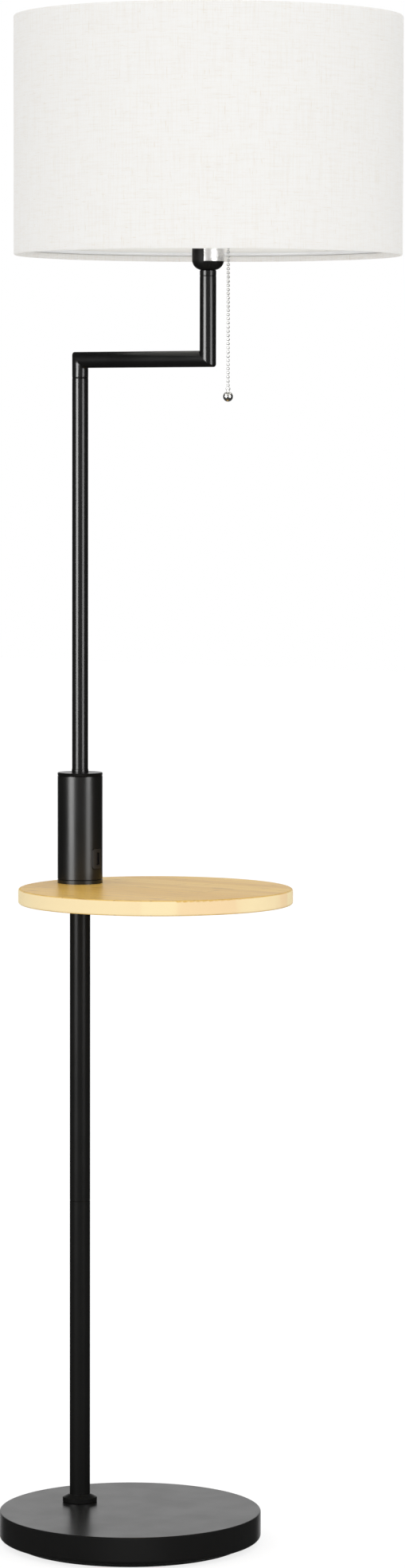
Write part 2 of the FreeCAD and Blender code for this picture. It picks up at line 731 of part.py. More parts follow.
def power_board():
    """Upright board behind the port, standing on the foot ring's step, with its large parts."""
    foot = shell_foot + d.housing_spigot
    high = d.shell_height - d.housing_spigot - d.cap_spigot - d.board_headroom
    keep(block("power_board", d.board_thickness, d.board_width, high,
               board_face - d.board_thickness, 0, foot), "power_board")
    coil_z = port_z + d.port_height / 2 + d.coil_gap
    keep(block("transformer", d.coil_depth, d.coil_width, d.coil_height, board_face, 0, coil_z),
         "transformer")
    can_r = d.capacitor_diameter / 2
    can_z = coil_z + d.coil_height + d.capacitor_gap + can_r
    cans = []
    for side in (-1, 1):
        can = rod(f"Can{side + 1}", can_r, d.capacitor_length,
                  board_face, d.capacitor_pitch / 2 * side, can_z)
        can.Placement.Rotation = FreeCAD.Rotation(FreeCAD.Vector(0, 1, 0), 90)
        cans.append(can)
    multi("MultiFuse", "capacitors", cans)


def core_rod():
    """Hollow rod that clamps the pole, table, housing and upper pole together."""
    start = flange_z - d.plug_length
    tube("core_rod", stem_r, stem_in, upper_foot + d.plug_length - start, pole_x, 0, start)
    ring = tube("clamp_ring", upper_r + d.clamp_ring_rim, stem_r + d.fit, d.clamp_ring_height,
                pole_x, 0, cap_top)
    break_rings(ring, [(upper_r + d.clamp_ring_rim, d.clamp_ring_height)], d.clamp_ring_rim)


# ---------------------------------------------------------------- upper pole and swivel


def upper_pole():
    plug("upper_foot_plug", upper_in, pole_x, upper_foot)
    body = tube("upper_pole", upper_r, upper_in, d.upper_section, pole_x, 0, upper_foot)
    break_rings(body, [(upper_r, d.upper_section)], d.tube_edge)
    tube("swivel_bush", upper_in - d.fit, d.pivot_diameter / 2 + d.pivot_gap, d.bush_length,
         pole_x, 0, upper_top - d.bush_length)
    tube("swivel_washer", upper_r - d.swivel_washer_inset, d.pivot_diameter / 2 + d.stem_gap,
         d.swivel_washer_thickness, pole_x, 0, upper_top)


# ---------------------------------------------------------------- swing arm


def arm_pivot():
    """Plug in the arm's lower end with the hollow pin that turns in the bush, and its clip."""
    head = upper_in - d.fit
    pin = d.pivot_diameter / 2
    bore = d.pivot_bore / 2
    groove = pin - d.clip_groove
    bush_low = -d.swivel_washer_thickness - d.swivel_gap - d.bush_length
    clip_top = bush_low - d.clip_gap
    clip_low = clip_top - d.clip_thickness
    low = clip_low - d.pivot_tail
    turned("arm_pivot", [
        (bore, low), (pin, low), (pin, clip_low), (groove, clip_low), (groove, clip_top),
        (pin, clip_top), (pin, 0), (head, 0), (head, d.pivot_head), (bore, d.pivot_head)],
        pole_x, 0, arm_foot)
    tube("pivot_clip", d.clip_diameter / 2, groove + d.fit, d.clip_thickness,
         pole_x, 0, arm_foot + clip_low)


def swing_arm():
    """Z-shaped tube with two mitred elbows."""
    body = new_body("swing_arm", pole_x, 0, arm_foot)
    path = flat_sketch(body, "XZ_Plane", "Route")
    draw_chain(path, [(0, 0), (0, d.arm_drop), (d.arm_reach, d.arm_drop),
                      (d.arm_reach, d.arm_drop + d.stub_rise)], False)
    section = flat_sketch(body, "XY_Plane", "Section")
    draw_circle(section, upper_r)
    draw_circle(section, upper_in)
    pipe = body.newObject("PartDesign::AdditivePipe", "Mitred")
    pipe.Profile = section
    pipe.Spine = (path, ["Edge1", "Edge2", "Edge3"])
    pipe.Transition = "Right corner"
    doc.recompute()
    break_rings(body, [(upper_r, 0), (upper_r, d.arm_drop + d.stub_rise)], d.tube_edge)


def arm_head():
    """Insert in the stub's top, the hollow nipple above it and the neck ring."""
    tube("stub_insert", upper_in - d.fit, stem_r + d.fit, d.nipple_reach, head_x, 0,
         stub_top - d.nipple_reach)
    tube("head_nipple", stem_r, stem_in, d.nipple_reach + d.neck_height + d.cup_wall + d.nipple_stand,
         head_x, 0, stub_top - d.nipple_reach)
    neck = tube("neck_ring", upper_r, stem_r + d.fit, d.neck_height, head_x, 0, stub_top)
    break_rings(neck, [(upper_r, 0), (upper_r, d.neck_height)], d.neck_edge)


# ---------------------------------------------------------------- lamp holder


def holder_cup():
    """Drawn metal cup with a bowl for its foot and a hole for the chain guide."""
    r, wall = d.cup_diameter / 2, d.cup_wall
    bowl = d.cup_round - wall
    slant = bowl * math.sqrt(0.5)
    middle_r, middle_z = r - d.cup_round + slant, d.cup_round - slant
    body = turned("holder_cup", [
        (stem_r + d.fit, 0), (r, 0), (r, d.cup_height), (r - wall, d.cup_height),
        (r - wall, d.cup_round), (middle_r, middle_z), (r - d.cup_round, wall),
        (stem_r + d.fit, wall)], head_x, 0, cup_foot)
    round_rings(body, [(r, 0)], d.cup_round, "Bowl")
    hole = flat_sketch(body, "YZ_Plane", "GuideHole")
    draw_circle(hole, d.guide_outer / 2 + d.fit, 0, d.guide_height)
    cut(body, hole, d.cup_diameter, upward=True, name="GuideCut")


def foil_patch():
    """Blank foil that wraps part of the way round the cup."""
    turned_band = new_body("foil_patch", head_x, 0, cup_foot + d.foil_base)
    r = d.cup_diameter / 2
    sketch = flat_sketch(turned_band, "XZ_Plane", "Band")
    draw_box(sketch, r, r + d.foil_thickness, 0, d.foil_height)
    band = turned_band.newObject("PartDesign::Revolution", "Wrapped")
    band.Profile = sketch
    band.ReferenceAxis = (sketch, ["V_Axis"])
    bind(band, "Angle", d.foil_sweep)
    doc.recompute()
    turned_band.Placement.Rotation = FreeCAD.Rotation(
        FreeCAD.Vector(0, 0, 1), float(d.foil_start))


def chain_guide():
    """Small bent tube out of the cup's side with a flared mouth that points down."""
    body = new_body("chain_guide", head_x, 0, cup_foot + d.guide_height)
    outer, bore = d.guide_outer / 2, d.guide_bore / 2
    start = d.cup_diameter / 2 - d.cup_wall
    straight = d.guide_reach - d.guide_bend
    route = flat_sketch(body, "XZ_Plane", "Route")
    draw_chain(route, [(start, 0), (straight, 0)], False)
    middle = FreeCAD.Vector(float(straight), -float(d.guide_bend), 0)
    arc = route.addGeometry(Part.ArcOfCircle(
        Part.Circle(middle, FreeCAD.Vector(0, 0, 1), float(d.guide_bend)), 0, math.pi / 2), False)
    route.addConstraint(Sketcher.Constraint("Coincident", arc, END, 0, END))
    pin_point(route, arc, CENTRE, straight, -d.guide_bend)
    level = route.addConstraint(Sketcher.Constraint(
        "DistanceY", ORIGIN_POINT, START, arc, START, -float(d.guide_bend)))
    bind(route, f"Constraints[{level}]", -d.guide_bend)
    section = flat_sketch(body, "YZ_Plane", "Section")
    draw_circle(section, outer)
    draw_circle(section, bore)
    section.setExpression("AttachmentOffset.Base.z", start.formula)
    pipe = body.newObject("PartDesign::AdditivePipe", "Bent")
    pipe.Profile = section
    pipe.Spine = (route, ["Edge1", "Edge2"])
    doc.recompute()
    flare = flat_sketch(body, "XZ_Plane", "Flare")
    low = -d.guide_bend - d.guide_mouth_height
    mouth = d.guide_mouth / 2
    wall = outer - bore
    reach = d.guide_reach
    draw_chain(flare, [
        (reach + bore, -d.guide_bend), (reach + outer, -d.guide_bend), (reach + mouth, low),
        (reach + mouth - wall, low)], True)
    axis = flare.addGeometry(Part.LineSegment(
        FreeCAD.Vector(float(reach), float(low), 0),
        FreeCAD.Vector(float(reach), -float(d.guide_bend), 0)), True)
    pin_point(flare, axis, START, reach, low)
    pin_point(flare, axis, END, reach, -d.guide_bend)
    step = body.newObject("PartDesign::Revolution", "Mouth")
    step.Profile = flare
    step.ReferenceAxis = (flare, ["Axis0"])
    step.Angle = 360
    doc.recompute()


def pull_switch():
    """Pull switch in its drum, hung under the insulating body."""
    top = cup_top - d.body_spigot
    keep(rod("pull_switch", d.switch_diameter / 2, d.switch_height, head_x, 0,
             top - d.switch_height), "pull_switch")


def holder_body():
    """Insulating body: step in the cup, shoulder for the shade and threaded barrel."""
    spigot = d.cup_diameter / 2 - d.cup_wall - d.fit
    barrel, shoulder = d.barrel_diameter / 2, d.shoulder_diameter / 2
    bore = d.bulb_bore / 2 + d.bulb_shell_wall + d.fit
    top = d.shoulder_height + d.barrel_height
    floor = top - d.bulb_shell_length
    contact_r = d.contact_diameter / 2
    seat = floor - d.contact_height
    turned("holder_body", [
        (0, -d.body_spigot), (spigot, -d.body_spigot), (spigot, 0), (shoulder, 0),
        (shoulder, d.shoulder_height), (barrel, d.shoulder_height), (barrel, top),
        (bore, top), (bore, floor), (contact_r + d.fit, floor), (contact_r + d.fit, seat),
        (0, seat)], head_x, 0, cup_top)
    tube("bulb_shell", bore - d.fit, d.bulb_bore / 2, d.bulb_shell_length, head_x, 0,
         cup_top + floor)
    keep(rod("centre_contact", contact_r, d.contact_height, head_x, 0, cup_top + seat),
         "centre_contact")
    ring = tube("shade_clamp", d.clamp_diameter / 2, barrel + d.fit, d.clamp_height,
                head_x, 0, fitter_top)
    break_rings(ring, [(d.clamp_diameter / 2, 0), (d.clamp_diameter / 2, d.clamp_height)],
                d.clamp_edge)


# ---------------------------------------------------------------- shade

ring_wire_r = d.shade_ring_wire / 2
liner_out = d.shade_radius - d.cloth_thickness - d.cloth_gap
liner_in = liner_out - d.liner_thickness
hem_in = liner_in - d.cloth_gap - d.cloth_thickness
ring_r = liner_in - d.loose_gap - ring_wire_r
liner_inset = d.cloth_thickness + d.cloth_gap
ring_inset = d.hem_height + d.loose_gap + ring_wire_r


def wire_ring(name, z):
    """Ring of wire round the head's axis, its section drawn with a few straight sides."""
    body = doc.addObject("PartDesign::Body", name)
    place(body, head_x, 0, z)
    turn(body, polygon(ring_wire_r, ring_r), name)
    return body


def shade_fitter():
    """Lower wire ring, three bent spokes and the flat ring that sits on the shoulder."""
    low = wire_ring("LowerRing", shade_foot + ring_inset)
    hub_in = d.barrel_diameter / 2 + d.loose_gap
    hub_out = d.shoulder_diameter / 2 + d.fitter_rim
    disc = rod("FitterDisc", hub_out, d.fitter_thickness, head_x, 0, shoulder_top)
    hole = rod("FitterHole", hub_in, d.fitter_thickness, head_x, 0, shoulder_top)
    hub = boolean("Cut", "FitterHub", disc, hole, listed=False)
    spokes = [spoke(i) for i in range(int(float(d.spoke_count)))]
    multi("MultiFuse", "shade_fitter", [low, hub] + spokes)


def spoke(number):
    """Wire that stands up from the lower ring, bends inwards and runs under the clamp's level."""
    foot = shade_foot + ring_inset
    wire_r = float(d.spoke_wire) / 2
    riser = float(ring_r)
    rise = float(fitter_top - foot) - wire_r
    bend = float(d.spoke_bend)
    start = FreeCAD.Vector(riser, 0, 0)
    corner_low = FreeCAD.Vector(riser, 0, rise - bend)
    corner_high = FreeCAD.Vector(riser - bend, 0, rise)
    inset = bend * (1 - math.sqrt(0.5))
    middle = FreeCAD.Vector(riser - inset, 0, rise - inset)
    inner = FreeCAD.Vector(float(d.shoulder_diameter / 2 + d.loose_gap), 0, rise)
    route = Part.Wire([
        Part.LineSegment(start, corner_low).toShape(),
        Part.Arc(corner_low, middle, corner_high).toShape(),
        Part.LineSegment(corner_high, inner).toShape()])
    profile = Part.Wire([Part.Circle(start, FreeCAD.Vector(0, 0, 1), wire_r).toShape()])
    item = doc.addObject("Part::Feature", f"Spoke{number}")
    item.Shape = route.makePipeShell([profile], True, True)
    turn_by = float(d.spoke_turn) + 360.0 * number / float(d.spoke_count)
    item.Placement = FreeCAD.Placement(
        FreeCAD.Vector(float(head_x), 0, float(foot)),
        FreeCAD.Rotation(FreeCAD.Vector(0, 0, 1), turn_by))
    return item


def shade():
    """Top wire ring, stiff liner and the cloth, whose hems are turned in over the liner's edges."""
    keep(wire_ring("shade_top_ring", shade_top - ring_inset), "shade_top_ring")
    tube("shade_liner", liner_out, liner_in, d.shade_height - liner_inset * 2,
         head_x, 0, shade_foot + liner_inset)
    r, cloth, high = d.shade_radius, d.cloth_thickness, d.shade_height
    hem = d.hem_height
    body = turned("shade_cloth", [
        (r, 0), (r, high), (hem_in, high), (hem_in, high - hem), (hem_in + cloth, high - hem),
        (hem_in + cloth, high - cloth), (r - cloth, high - cloth), (r - cloth, cloth),
        (hem_in + cloth, cloth), (hem_in + cloth, hem), (hem_in, hem), (hem_in, 0)],
        head_x, 0, shade_foot)
    break_rings(body, [(r, 0), (r, high)], d.rim_edge, "Rims")


# ---------------------------------------------------------------- pull chain

chain_x = head_x + d.guide_reach
mouth_z = cup_foot + d.guide_height - d.guide_bend - d.guide_mouth_height
chain_top = mouth_z - d.bead_pitch / 2


def bead_run(label, beads, top):
    """A row of beads on a wire; the top is where the wire starts."""
    body = new_body(label, chain_x, 0, top)
    wire = flat_sketch(body, "XY_Plane", "WireSection")
    draw_chain(wire, polygon(d.link_wire / 2), True)
    steps = [pad(body, wire, d.bead_pitch, "Link")]
    steps[0].Reversed = True
    for name, downward in (("UpperHalf", False), ("LowerHalf", True)):
        middle = flat_sketch(body, "XY_Plane", name + "Section")
        draw_chain(middle, polygon(d.bead_diameter / 2), True)
        bind(middle, "AttachmentOffset.Base.z", -d.bead_pitch / 2)
        half = pad(body, middle, d.bead_diameter / 2, name)
        half.Reversed = downward
        bind(half, "TaperAngle", -d.bead_taper)
        steps.append(half)
    doc.recompute()
    row = body.newObject("PartDesign::LinearPattern", "Row")
    row.Originals = steps
    up = [f for f in body.Origin.OriginFeatures if f.Role == "Z_Axis"][0]
    row.Direction = (up, [""])
    row.Reversed = True
    bind(row, "Length", d.bead_pitch * (beads - 1))
    bind(row, "Occurrences", beads)
    body.Tip = row
    doc.recompute()


def pull_chain():
    """Beads in the guide, the hanging beads, and the ferrule and ball at their end."""
    bead_run("chain_lead", d.lead_beads, chain_top + d.chain_joint + d.bead_pitch * d.lead_beads)
    bead_run("pull_chain", d.bead_count, chain_top)
    chain_end = chain_top - d.bead_pitch * d.bead_count
    ball_r = d.ball_diameter / 2
    top_r, tip_r = d.ferrule_diameter / 2, d.ferrule_tip / 2
    turned("chain_ferrule", [
        (0, 0), (top_r, 0), (top_r, -d.ferrule_band), (tip_r, -d.ferrule_height),
        (0, -d.ferrule_height)], chain_x, 0, chain_end)
    ball = doc.addObject("Part::Sphere", "chain_ball")
    bind(ball, "Radius", ball_r)
    place(ball, chain_x, 0, chain_end - d.ferrule_height - ball_r)
    keep(ball, "chain_ball")


# ---------------------------------------------------------------- build, check and write

base_pad()
base_weight()
base_cover()
cord_bushing()
base_fixing()
base_collar()
lower_pole()
table()
housing()
usb_plate()
usb_port()
power_board()
core_rod()
upper_pole()
arm_pivot()
swing_arm()
arm_head()
holder_cup()
foil_patch()
chain_guide()
pull_switch()
holder_body()
shade_fitter()
shade()
pull_chain()
doc.recompute()

for item in doc.Objects:
    if "Invalid" in item.State or "Error" in item.State:
        raise RuntimeError(f"{item.Label} failed: {item.State}")
for item in nodes:
    if item.Shape.isNull() or not item.Shape.isValid() or not item.Shape.Solids:
        raise RuntimeError(f"{item.Label} has no sound solid")

os.makedirs("parts", exist_ok=True)
for item in nodes:
    item.Shape.exportStep(f"parts/{item.Label}.step")
print(f"{len(nodes)} sub-parts written")
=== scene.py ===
"""Looks of a black floor lamp with a bamboo side table, a power housing and a linen drum shade.

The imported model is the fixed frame.  Each sub-assembly is a class that builds the pieces which need
more than their plain solid and gives every node its finish.  Lengths are in metres.
"""

import logging
import math
from dataclasses import dataclass, field
from enum import Enum
from typing import Callable, Sequence

import bmesh
import bpy
from mathutils import Matrix, Vector


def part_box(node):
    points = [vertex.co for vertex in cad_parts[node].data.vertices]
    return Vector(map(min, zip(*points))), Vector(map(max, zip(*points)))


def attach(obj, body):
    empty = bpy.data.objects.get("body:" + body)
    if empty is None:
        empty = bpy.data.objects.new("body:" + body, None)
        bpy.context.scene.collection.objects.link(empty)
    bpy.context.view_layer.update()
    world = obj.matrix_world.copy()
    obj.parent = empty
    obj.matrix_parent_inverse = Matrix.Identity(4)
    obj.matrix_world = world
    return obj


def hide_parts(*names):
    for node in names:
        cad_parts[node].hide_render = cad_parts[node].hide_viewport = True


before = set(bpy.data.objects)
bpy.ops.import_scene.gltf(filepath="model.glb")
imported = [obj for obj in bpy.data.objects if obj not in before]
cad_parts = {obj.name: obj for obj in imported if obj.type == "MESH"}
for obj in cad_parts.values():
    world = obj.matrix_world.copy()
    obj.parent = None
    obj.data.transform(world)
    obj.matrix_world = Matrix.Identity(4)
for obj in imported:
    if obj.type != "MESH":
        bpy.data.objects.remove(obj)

log = logging.getLogger("floor_lamp")

MM = 0.001
TURN = 2 * math.pi
SHARP = math.radians(32)

# Below these a length is next to nothing, two radii are the same, and two ways are parallel.
HAIR = 0.01 * MM
CLOSE = 1e-6
PARALLEL = 1e-4

Point = tuple[float, float]
Corner = tuple[float, float, float]
Colour = tuple[float, float, float]
Scale = tuple[float, float, float]
Socket = bpy.types.NodeSocket
Value = float | tuple[float, ...] | Socket


class Body(Enum):
    """Bodies that the pieces move with."""

    STAND = "stand"
    ARM = "arm"
    CHAIN_TOP = "chain_top"
    CHAIN = "chain"


class Space(Enum):
    """Where a finish takes its pattern's place from."""

    SOLID = "Object"
    FLAT = "UV"


# ---------------------------------------------------------------- node graphs


class Graph:
    """A node tree, with short ways to add and join its nodes."""

    def __init__(self, tree: bpy.types.NodeTree) -> None:
        """Empties the tree that the nodes go into."""
        self.tree = tree
        tree.nodes.clear()

    def put(self, socket: Socket, value: Value) -> None:
        """Joins a socket to another node, or sets its constant.

        Args:
            socket: Input socket to fill.
            value: Output socket, number, vector or colour.
        """
        if isinstance(value, Socket):
            self.tree.links.new(value, socket)
        elif socket.type == "RGBA" and len(value) == 3:
            socket.default_value = (*value, 1.0)
        else:
            socket.default_value = value

    def add(self, kind: str, inputs: dict[str | int, Value], out: str | int = 0,
            **settings: object) -> Socket:
        """Adds a node.

        Args:
            kind: Type of the node without its ShaderNode start.
            inputs: Values of its input sockets.
            out: The output that is wanted.
            **settings: Properties of the node itself.

        Returns:
            The wanted output socket.
        """
        node = self.tree.nodes.new("ShaderNode" + kind)
        for key, setting in settings.items():
            setattr(node, key, setting)
        for key, value in inputs.items():
            self.put(node.inputs[key], value)
        return node.outputs[out]

    def place(self, space: Space, scale: Sequence[float]) -> Socket:
        """Gives the pattern's place, stretched along its axes.

        Args:
            space: Solid or flat coordinates.
            scale: Repeats in a metre along each axis.

        Returns:
            The vector socket.
        """
        spot = self.add("TexCoord", {}, space.value)
        return self.add("Mapping", {"Vector": spot, "Scale": tuple(scale)})

    def noise(self, vector: Value, detail: float = 2.0, scale: float = 1.0,
              roughness: float = 0.5) -> Socket:
        """Gives smooth noise from 0 to 1 at a place."""
        return self.add("TexNoise", {"Vector": vector, "Scale": scale, "Detail": detail,
                                     "Roughness": roughness}, "Fac")

    def ramp(self, amount: Value, low: float, high: float, start: float = 0.0,
             end: float = 1.0) -> Socket:
        """Gives a smooth step of an amount.

        Args:
            amount: What is stepped.
            low: Amount at which the step starts.
            high: Amount at which it ends.
            start: Result below the step.
            end: Result above it.

        Returns:
            The stepped value.
        """
        return self.add("MapRange", {"Value": amount, "From Min": low, "From Max": high,
                                     "To Min": start, "To Max": end},
                        interpolation_type="SMOOTHSTEP")

    def calc(self, kind: str, *values: Value) -> Socket:
        """Gives the result of one sum on up to three values."""
        return self.add("Math", dict(enumerate(values)), operation=kind)

    def mix(self, share: Value, first: Value, second: Value) -> Socket:
        """Gives a colour between two others."""
        return self.add("Mix", {0: share, 6: first, 7: second}, 2, data_type="RGBA")


class SurfaceGraph(Graph):
    """A material's node tree, with a principled shader on its output."""

    def __init__(self, name: str) -> None:
        """Starts the material.

        Args:
            name: Name of the material.
        """
        self.material = bpy.data.materials.new(name)
        self.material.use_nodes = True
        super().__init__(self.material.node_tree)
        self.shader = self.tree.nodes.new("ShaderNodeBsdfPrincipled")
        out = self.tree.nodes.new("ShaderNodeOutputMaterial")
        self.tree.links.new(self.shader.outputs["BSDF"], out.inputs["Surface"])

    def bump(self, height: Value, distance: float, strength: float = 1.0) -> None:
        """Lays a relief on the shader.

        Args:
            height: Relief from 0 to 1.
            distance: Its depth.
            strength: How much of it shows.
        """
        self.put(self.shader.inputs["Normal"],
                 self.add("Bump", {"Height": height, "Distance": distance, "Strength": strength}))

    def dress(self, **values: Value) -> bpy.types.Material:
        """Sets sockets of the shader by their names.

        Args:
            **values: Socket names with underscores for blanks.

        Returns:
            The finished material.
        """
        for name, value in values.items():
            self.put(self.shader.inputs[name.replace("_", " ")], value)
        return self.material


# ---------------------------------------------------------------- finishes


@dataclass(frozen=True)
class Finish:
    """A finish, named after the record's material slot that it stands for."""

    slot: str
    kind: str = field(default="finish", kw_only=True)

    def material(self) -> bpy.types.Material:
        """Makes the finish's material on first use.

        Returns:
            The material.
        """
        name = f"{self.slot}_{self.kind}"
        found = bpy.data.materials.get(name)
        return found if found else self.make(SurfaceGraph(name))

    def make(self, graph: SurfaceGraph) -> bpy.types.Material:
        """Builds the material.

        Args:
            graph: Empty node graph with a shader.

        Returns:
            The finished material.
        """
        raise NotImplementedError


@dataclass(frozen=True)
class Coat(Finish):
    """Paint, plastic, rubber or casting: one colour with a fine grain and a few paler patches."""

    colour: Colour
    roughness: float
    grain: float = 0.8 * MM
    depth: float = 0.02 * MM
    patch: float = 35 * MM
    mottle: float = 0.12
    uneven: float = 0.015
    gloss: float = 0.5
    speckle: float = 0.4
    ground: float = 0.3
    tone: float = 0.62

    def make(self, graph: SurfaceGraph) -> bpy.types.Material:
        """Builds the material.

        Args:
            graph: Empty node graph with a shader.

        Returns:
            The finished material.
        """
        patches = graph.noise(graph.place(Space.SOLID, [1 / self.patch] * 3), 4.0)
        grain = graph.noise(graph.place(Space.SOLID, [1 / self.grain] * 3), 2.0)
        pale = tuple(c * (1 + self.mottle) + 0.002 * self.mottle for c in self.colour)
        dark = tuple(c * (1 - self.mottle) for c in self.colour)
        speckled = graph.calc("MULTIPLY_ADD", grain, self.speckle, self.ground)
        share = graph.calc("MULTIPLY", graph.calc("ADD", patches, speckled), self.tone)
        graph.bump(grain, self.depth)
        rough = graph.ramp(patches, 0.3, 0.7, self.roughness - self.uneven,
                           self.roughness + self.uneven)
        return graph.dress(Base_Color=graph.mix(share, dark, pale), Roughness=rough,
                           Specular_IOR_Level=self.gloss)


@dataclass(frozen=True)
class Metal(Finish):
    """Bare or plated metal with brush marks or crinkles and a few dull patches."""

    colour: Colour
    roughness: float
    brush: Scale = (1500.0, 1500.0, 120.0)
    depth: float = 0.008 * MM
    patch: float = 9 * MM
    tarnish: float = 0.25
    dulling: float = 1.6

    def make(self, graph: SurfaceGraph) -> bpy.types.Material:
        """Builds the material.

        Args:
            graph: Empty node graph with a shader.

        Returns:
            The finished material.
        """
        marks = graph.noise(graph.place(Space.SOLID, self.brush), 3.0)
        patches = graph.noise(graph.place(Space.SOLID, [1 / self.patch] * 3), 4.0)
        dull = tuple(c * (1 - self.tarnish) for c in self.colour)
        graph.bump(marks, self.depth)
        rough = graph.ramp(patches, 0.3, 0.75, self.roughness,
                           self.roughness * self.dulling)
        return graph.dress(Base_Color=graph.mix(graph.ramp(patches, 0.45, 0.8), self.colour, dull),
                           Metallic=1.0, Roughness=rough)


@dataclass(frozen=True)
class Bamboo(Finish):
    """Bamboo strips laid along X, with fibres, knuckles and glue lines under a satin varnish; the
    sides are painted paler than the top, partly for their own side grain and partly as painted light.
    """

    honey: Colour = (0.67, 0.375, 0.062)
    straw: Colour = (0.87, 0.59, 0.165)
    fleck: Colour = (0.38, 0.19, 0.05)
    # Painted light in part: the side colour is paler than the top, partly for the side grain and
    # partly because the sides face the lamps while the top is lit less.
    edge: Colour = (0.97, 0.81, 0.48)
    end_grain: Colour = (0.93, 0.69, 0.40)
    strip: float = 19 * MM
    knuckle: float = 230 * MM
    knuckle_width: float = 1.6 * MM
    knuckle_sway: float = 0.012
    glue: float = 0.16 * MM
    streak_scale: Scale = (7, 620, 620)
    fibre_scale: Scale = (22, 2400, 2400)
    fleck_scale: Scale = (30, 170, 170)
    block_scale: Scale = (14, 30, 5)
    strip_share: float = 0.42
    streak_share: float = 0.58
    relief: float = 0.03 * MM
    polish: tuple[float, float] = (0.30, 0.40)
    side_polish: float = 0.5
    gloss: float = 0.15

    def make(self, graph: SurfaceGraph) -> bpy.types.Material:
        """Builds the material.

        Args:
            graph: Empty node graph with a shader.

        Returns:
            The finished material.
        """
        spot = graph.add("SeparateXYZ", {0: graph.add("TexCoord", {}, "Object")})
        along, across = spot.node.outputs[0], spot.node.outputs[1]
        lane = graph.calc("DIVIDE", across, self.strip)
        number = graph.calc("FLOOR", lane)
        chance = graph.add("TexWhiteNoise", {"W": number}, "Value", noise_dimensions="1D")
        seam = graph.calc("PINGPONG", graph.calc("FRACT", lane), 0.5)
        glued = graph.ramp(seam, 0.0, self.glue / self.strip, 1.0, 0.0)
        shifted = graph.calc("ADD", graph.calc("DIVIDE", along, self.knuckle), chance)
        wavy = graph.calc("MULTIPLY", graph.noise(graph.place(Space.SOLID, (60, 60, 60))),
                          self.knuckle_sway)
        ring = graph.calc("PINGPONG", graph.calc("FRACT", graph.calc("ADD", shifted, wavy)), 0.5)
        knuckles = graph.ramp(ring, 0.0, self.knuckle_width / self.knuckle, 0.55, 0.0)
        streaks = graph.noise(graph.place(Space.SOLID, self.streak_scale), 4.0, roughness=0.62)
        fibres = graph.noise(graph.place(Space.SOLID, self.fibre_scale), 2.0)
        flecks = graph.noise(graph.place(Space.SOLID, self.fleck_scale), 3.0, roughness=0.55)
        tone = graph.calc("ADD", graph.calc("MULTIPLY", chance, self.strip_share),
                          graph.calc("MULTIPLY", graph.ramp(streaks, 0.3, 0.72), self.streak_share))
        wood = graph.mix(tone, self.honey, self.straw)
        wood = graph.mix(graph.ramp(flecks, 0.58, 0.74, 0.0, 0.6), wood, self.fleck)
        wood = graph.mix(graph.ramp(fibres, 0.42, 0.7, 0.0, 0.16), wood, self.fleck)
        wood = graph.mix(graph.calc("MAXIMUM", glued, knuckles), wood, self.fleck)
        facing = graph.add("SeparateXYZ", {0: graph.add("TexCoord", {}, "Normal")}, "X")
        upright = facing.node.outputs["Z"]
        blocks = graph.noise(graph.place(Space.SOLID, self.block_scale), 1.0)
        ends = graph.calc("MULTIPLY", graph.ramp(facing, 0.35, 0.9, 0.25, 1.0),
                          graph.ramp(blocks, 0.44, 0.56, 0.1, 0.9))
        edge = graph.mix(ends, self.edge, self.end_grain)
        # Painted light in part: faces that are not level take the paler side colour, which stands for
        # the side grain and for the lamps' light on the sides.
        level = graph.ramp(graph.calc("ABSOLUTE", upright), 0.35, 0.9)
        side = graph.calc("SUBTRACT", 1.0, level)
        wood = graph.mix(side, wood, edge)
        relief = graph.calc("MULTIPLY_ADD", glued, -1.0, graph.calc("MULTIPLY", fibres, 0.5))
        graph.bump(graph.calc("MULTIPLY", relief, level), self.relief, 0.8)
        rough = graph.calc("MAXIMUM", graph.ramp(streaks, 0.3, 0.7, *self.polish),
                           graph.calc("MULTIPLY", side, self.side_polish))
        return graph.dress(Base_Color=wood, Roughness=rough, Specular_IOR_Level=self.gloss)


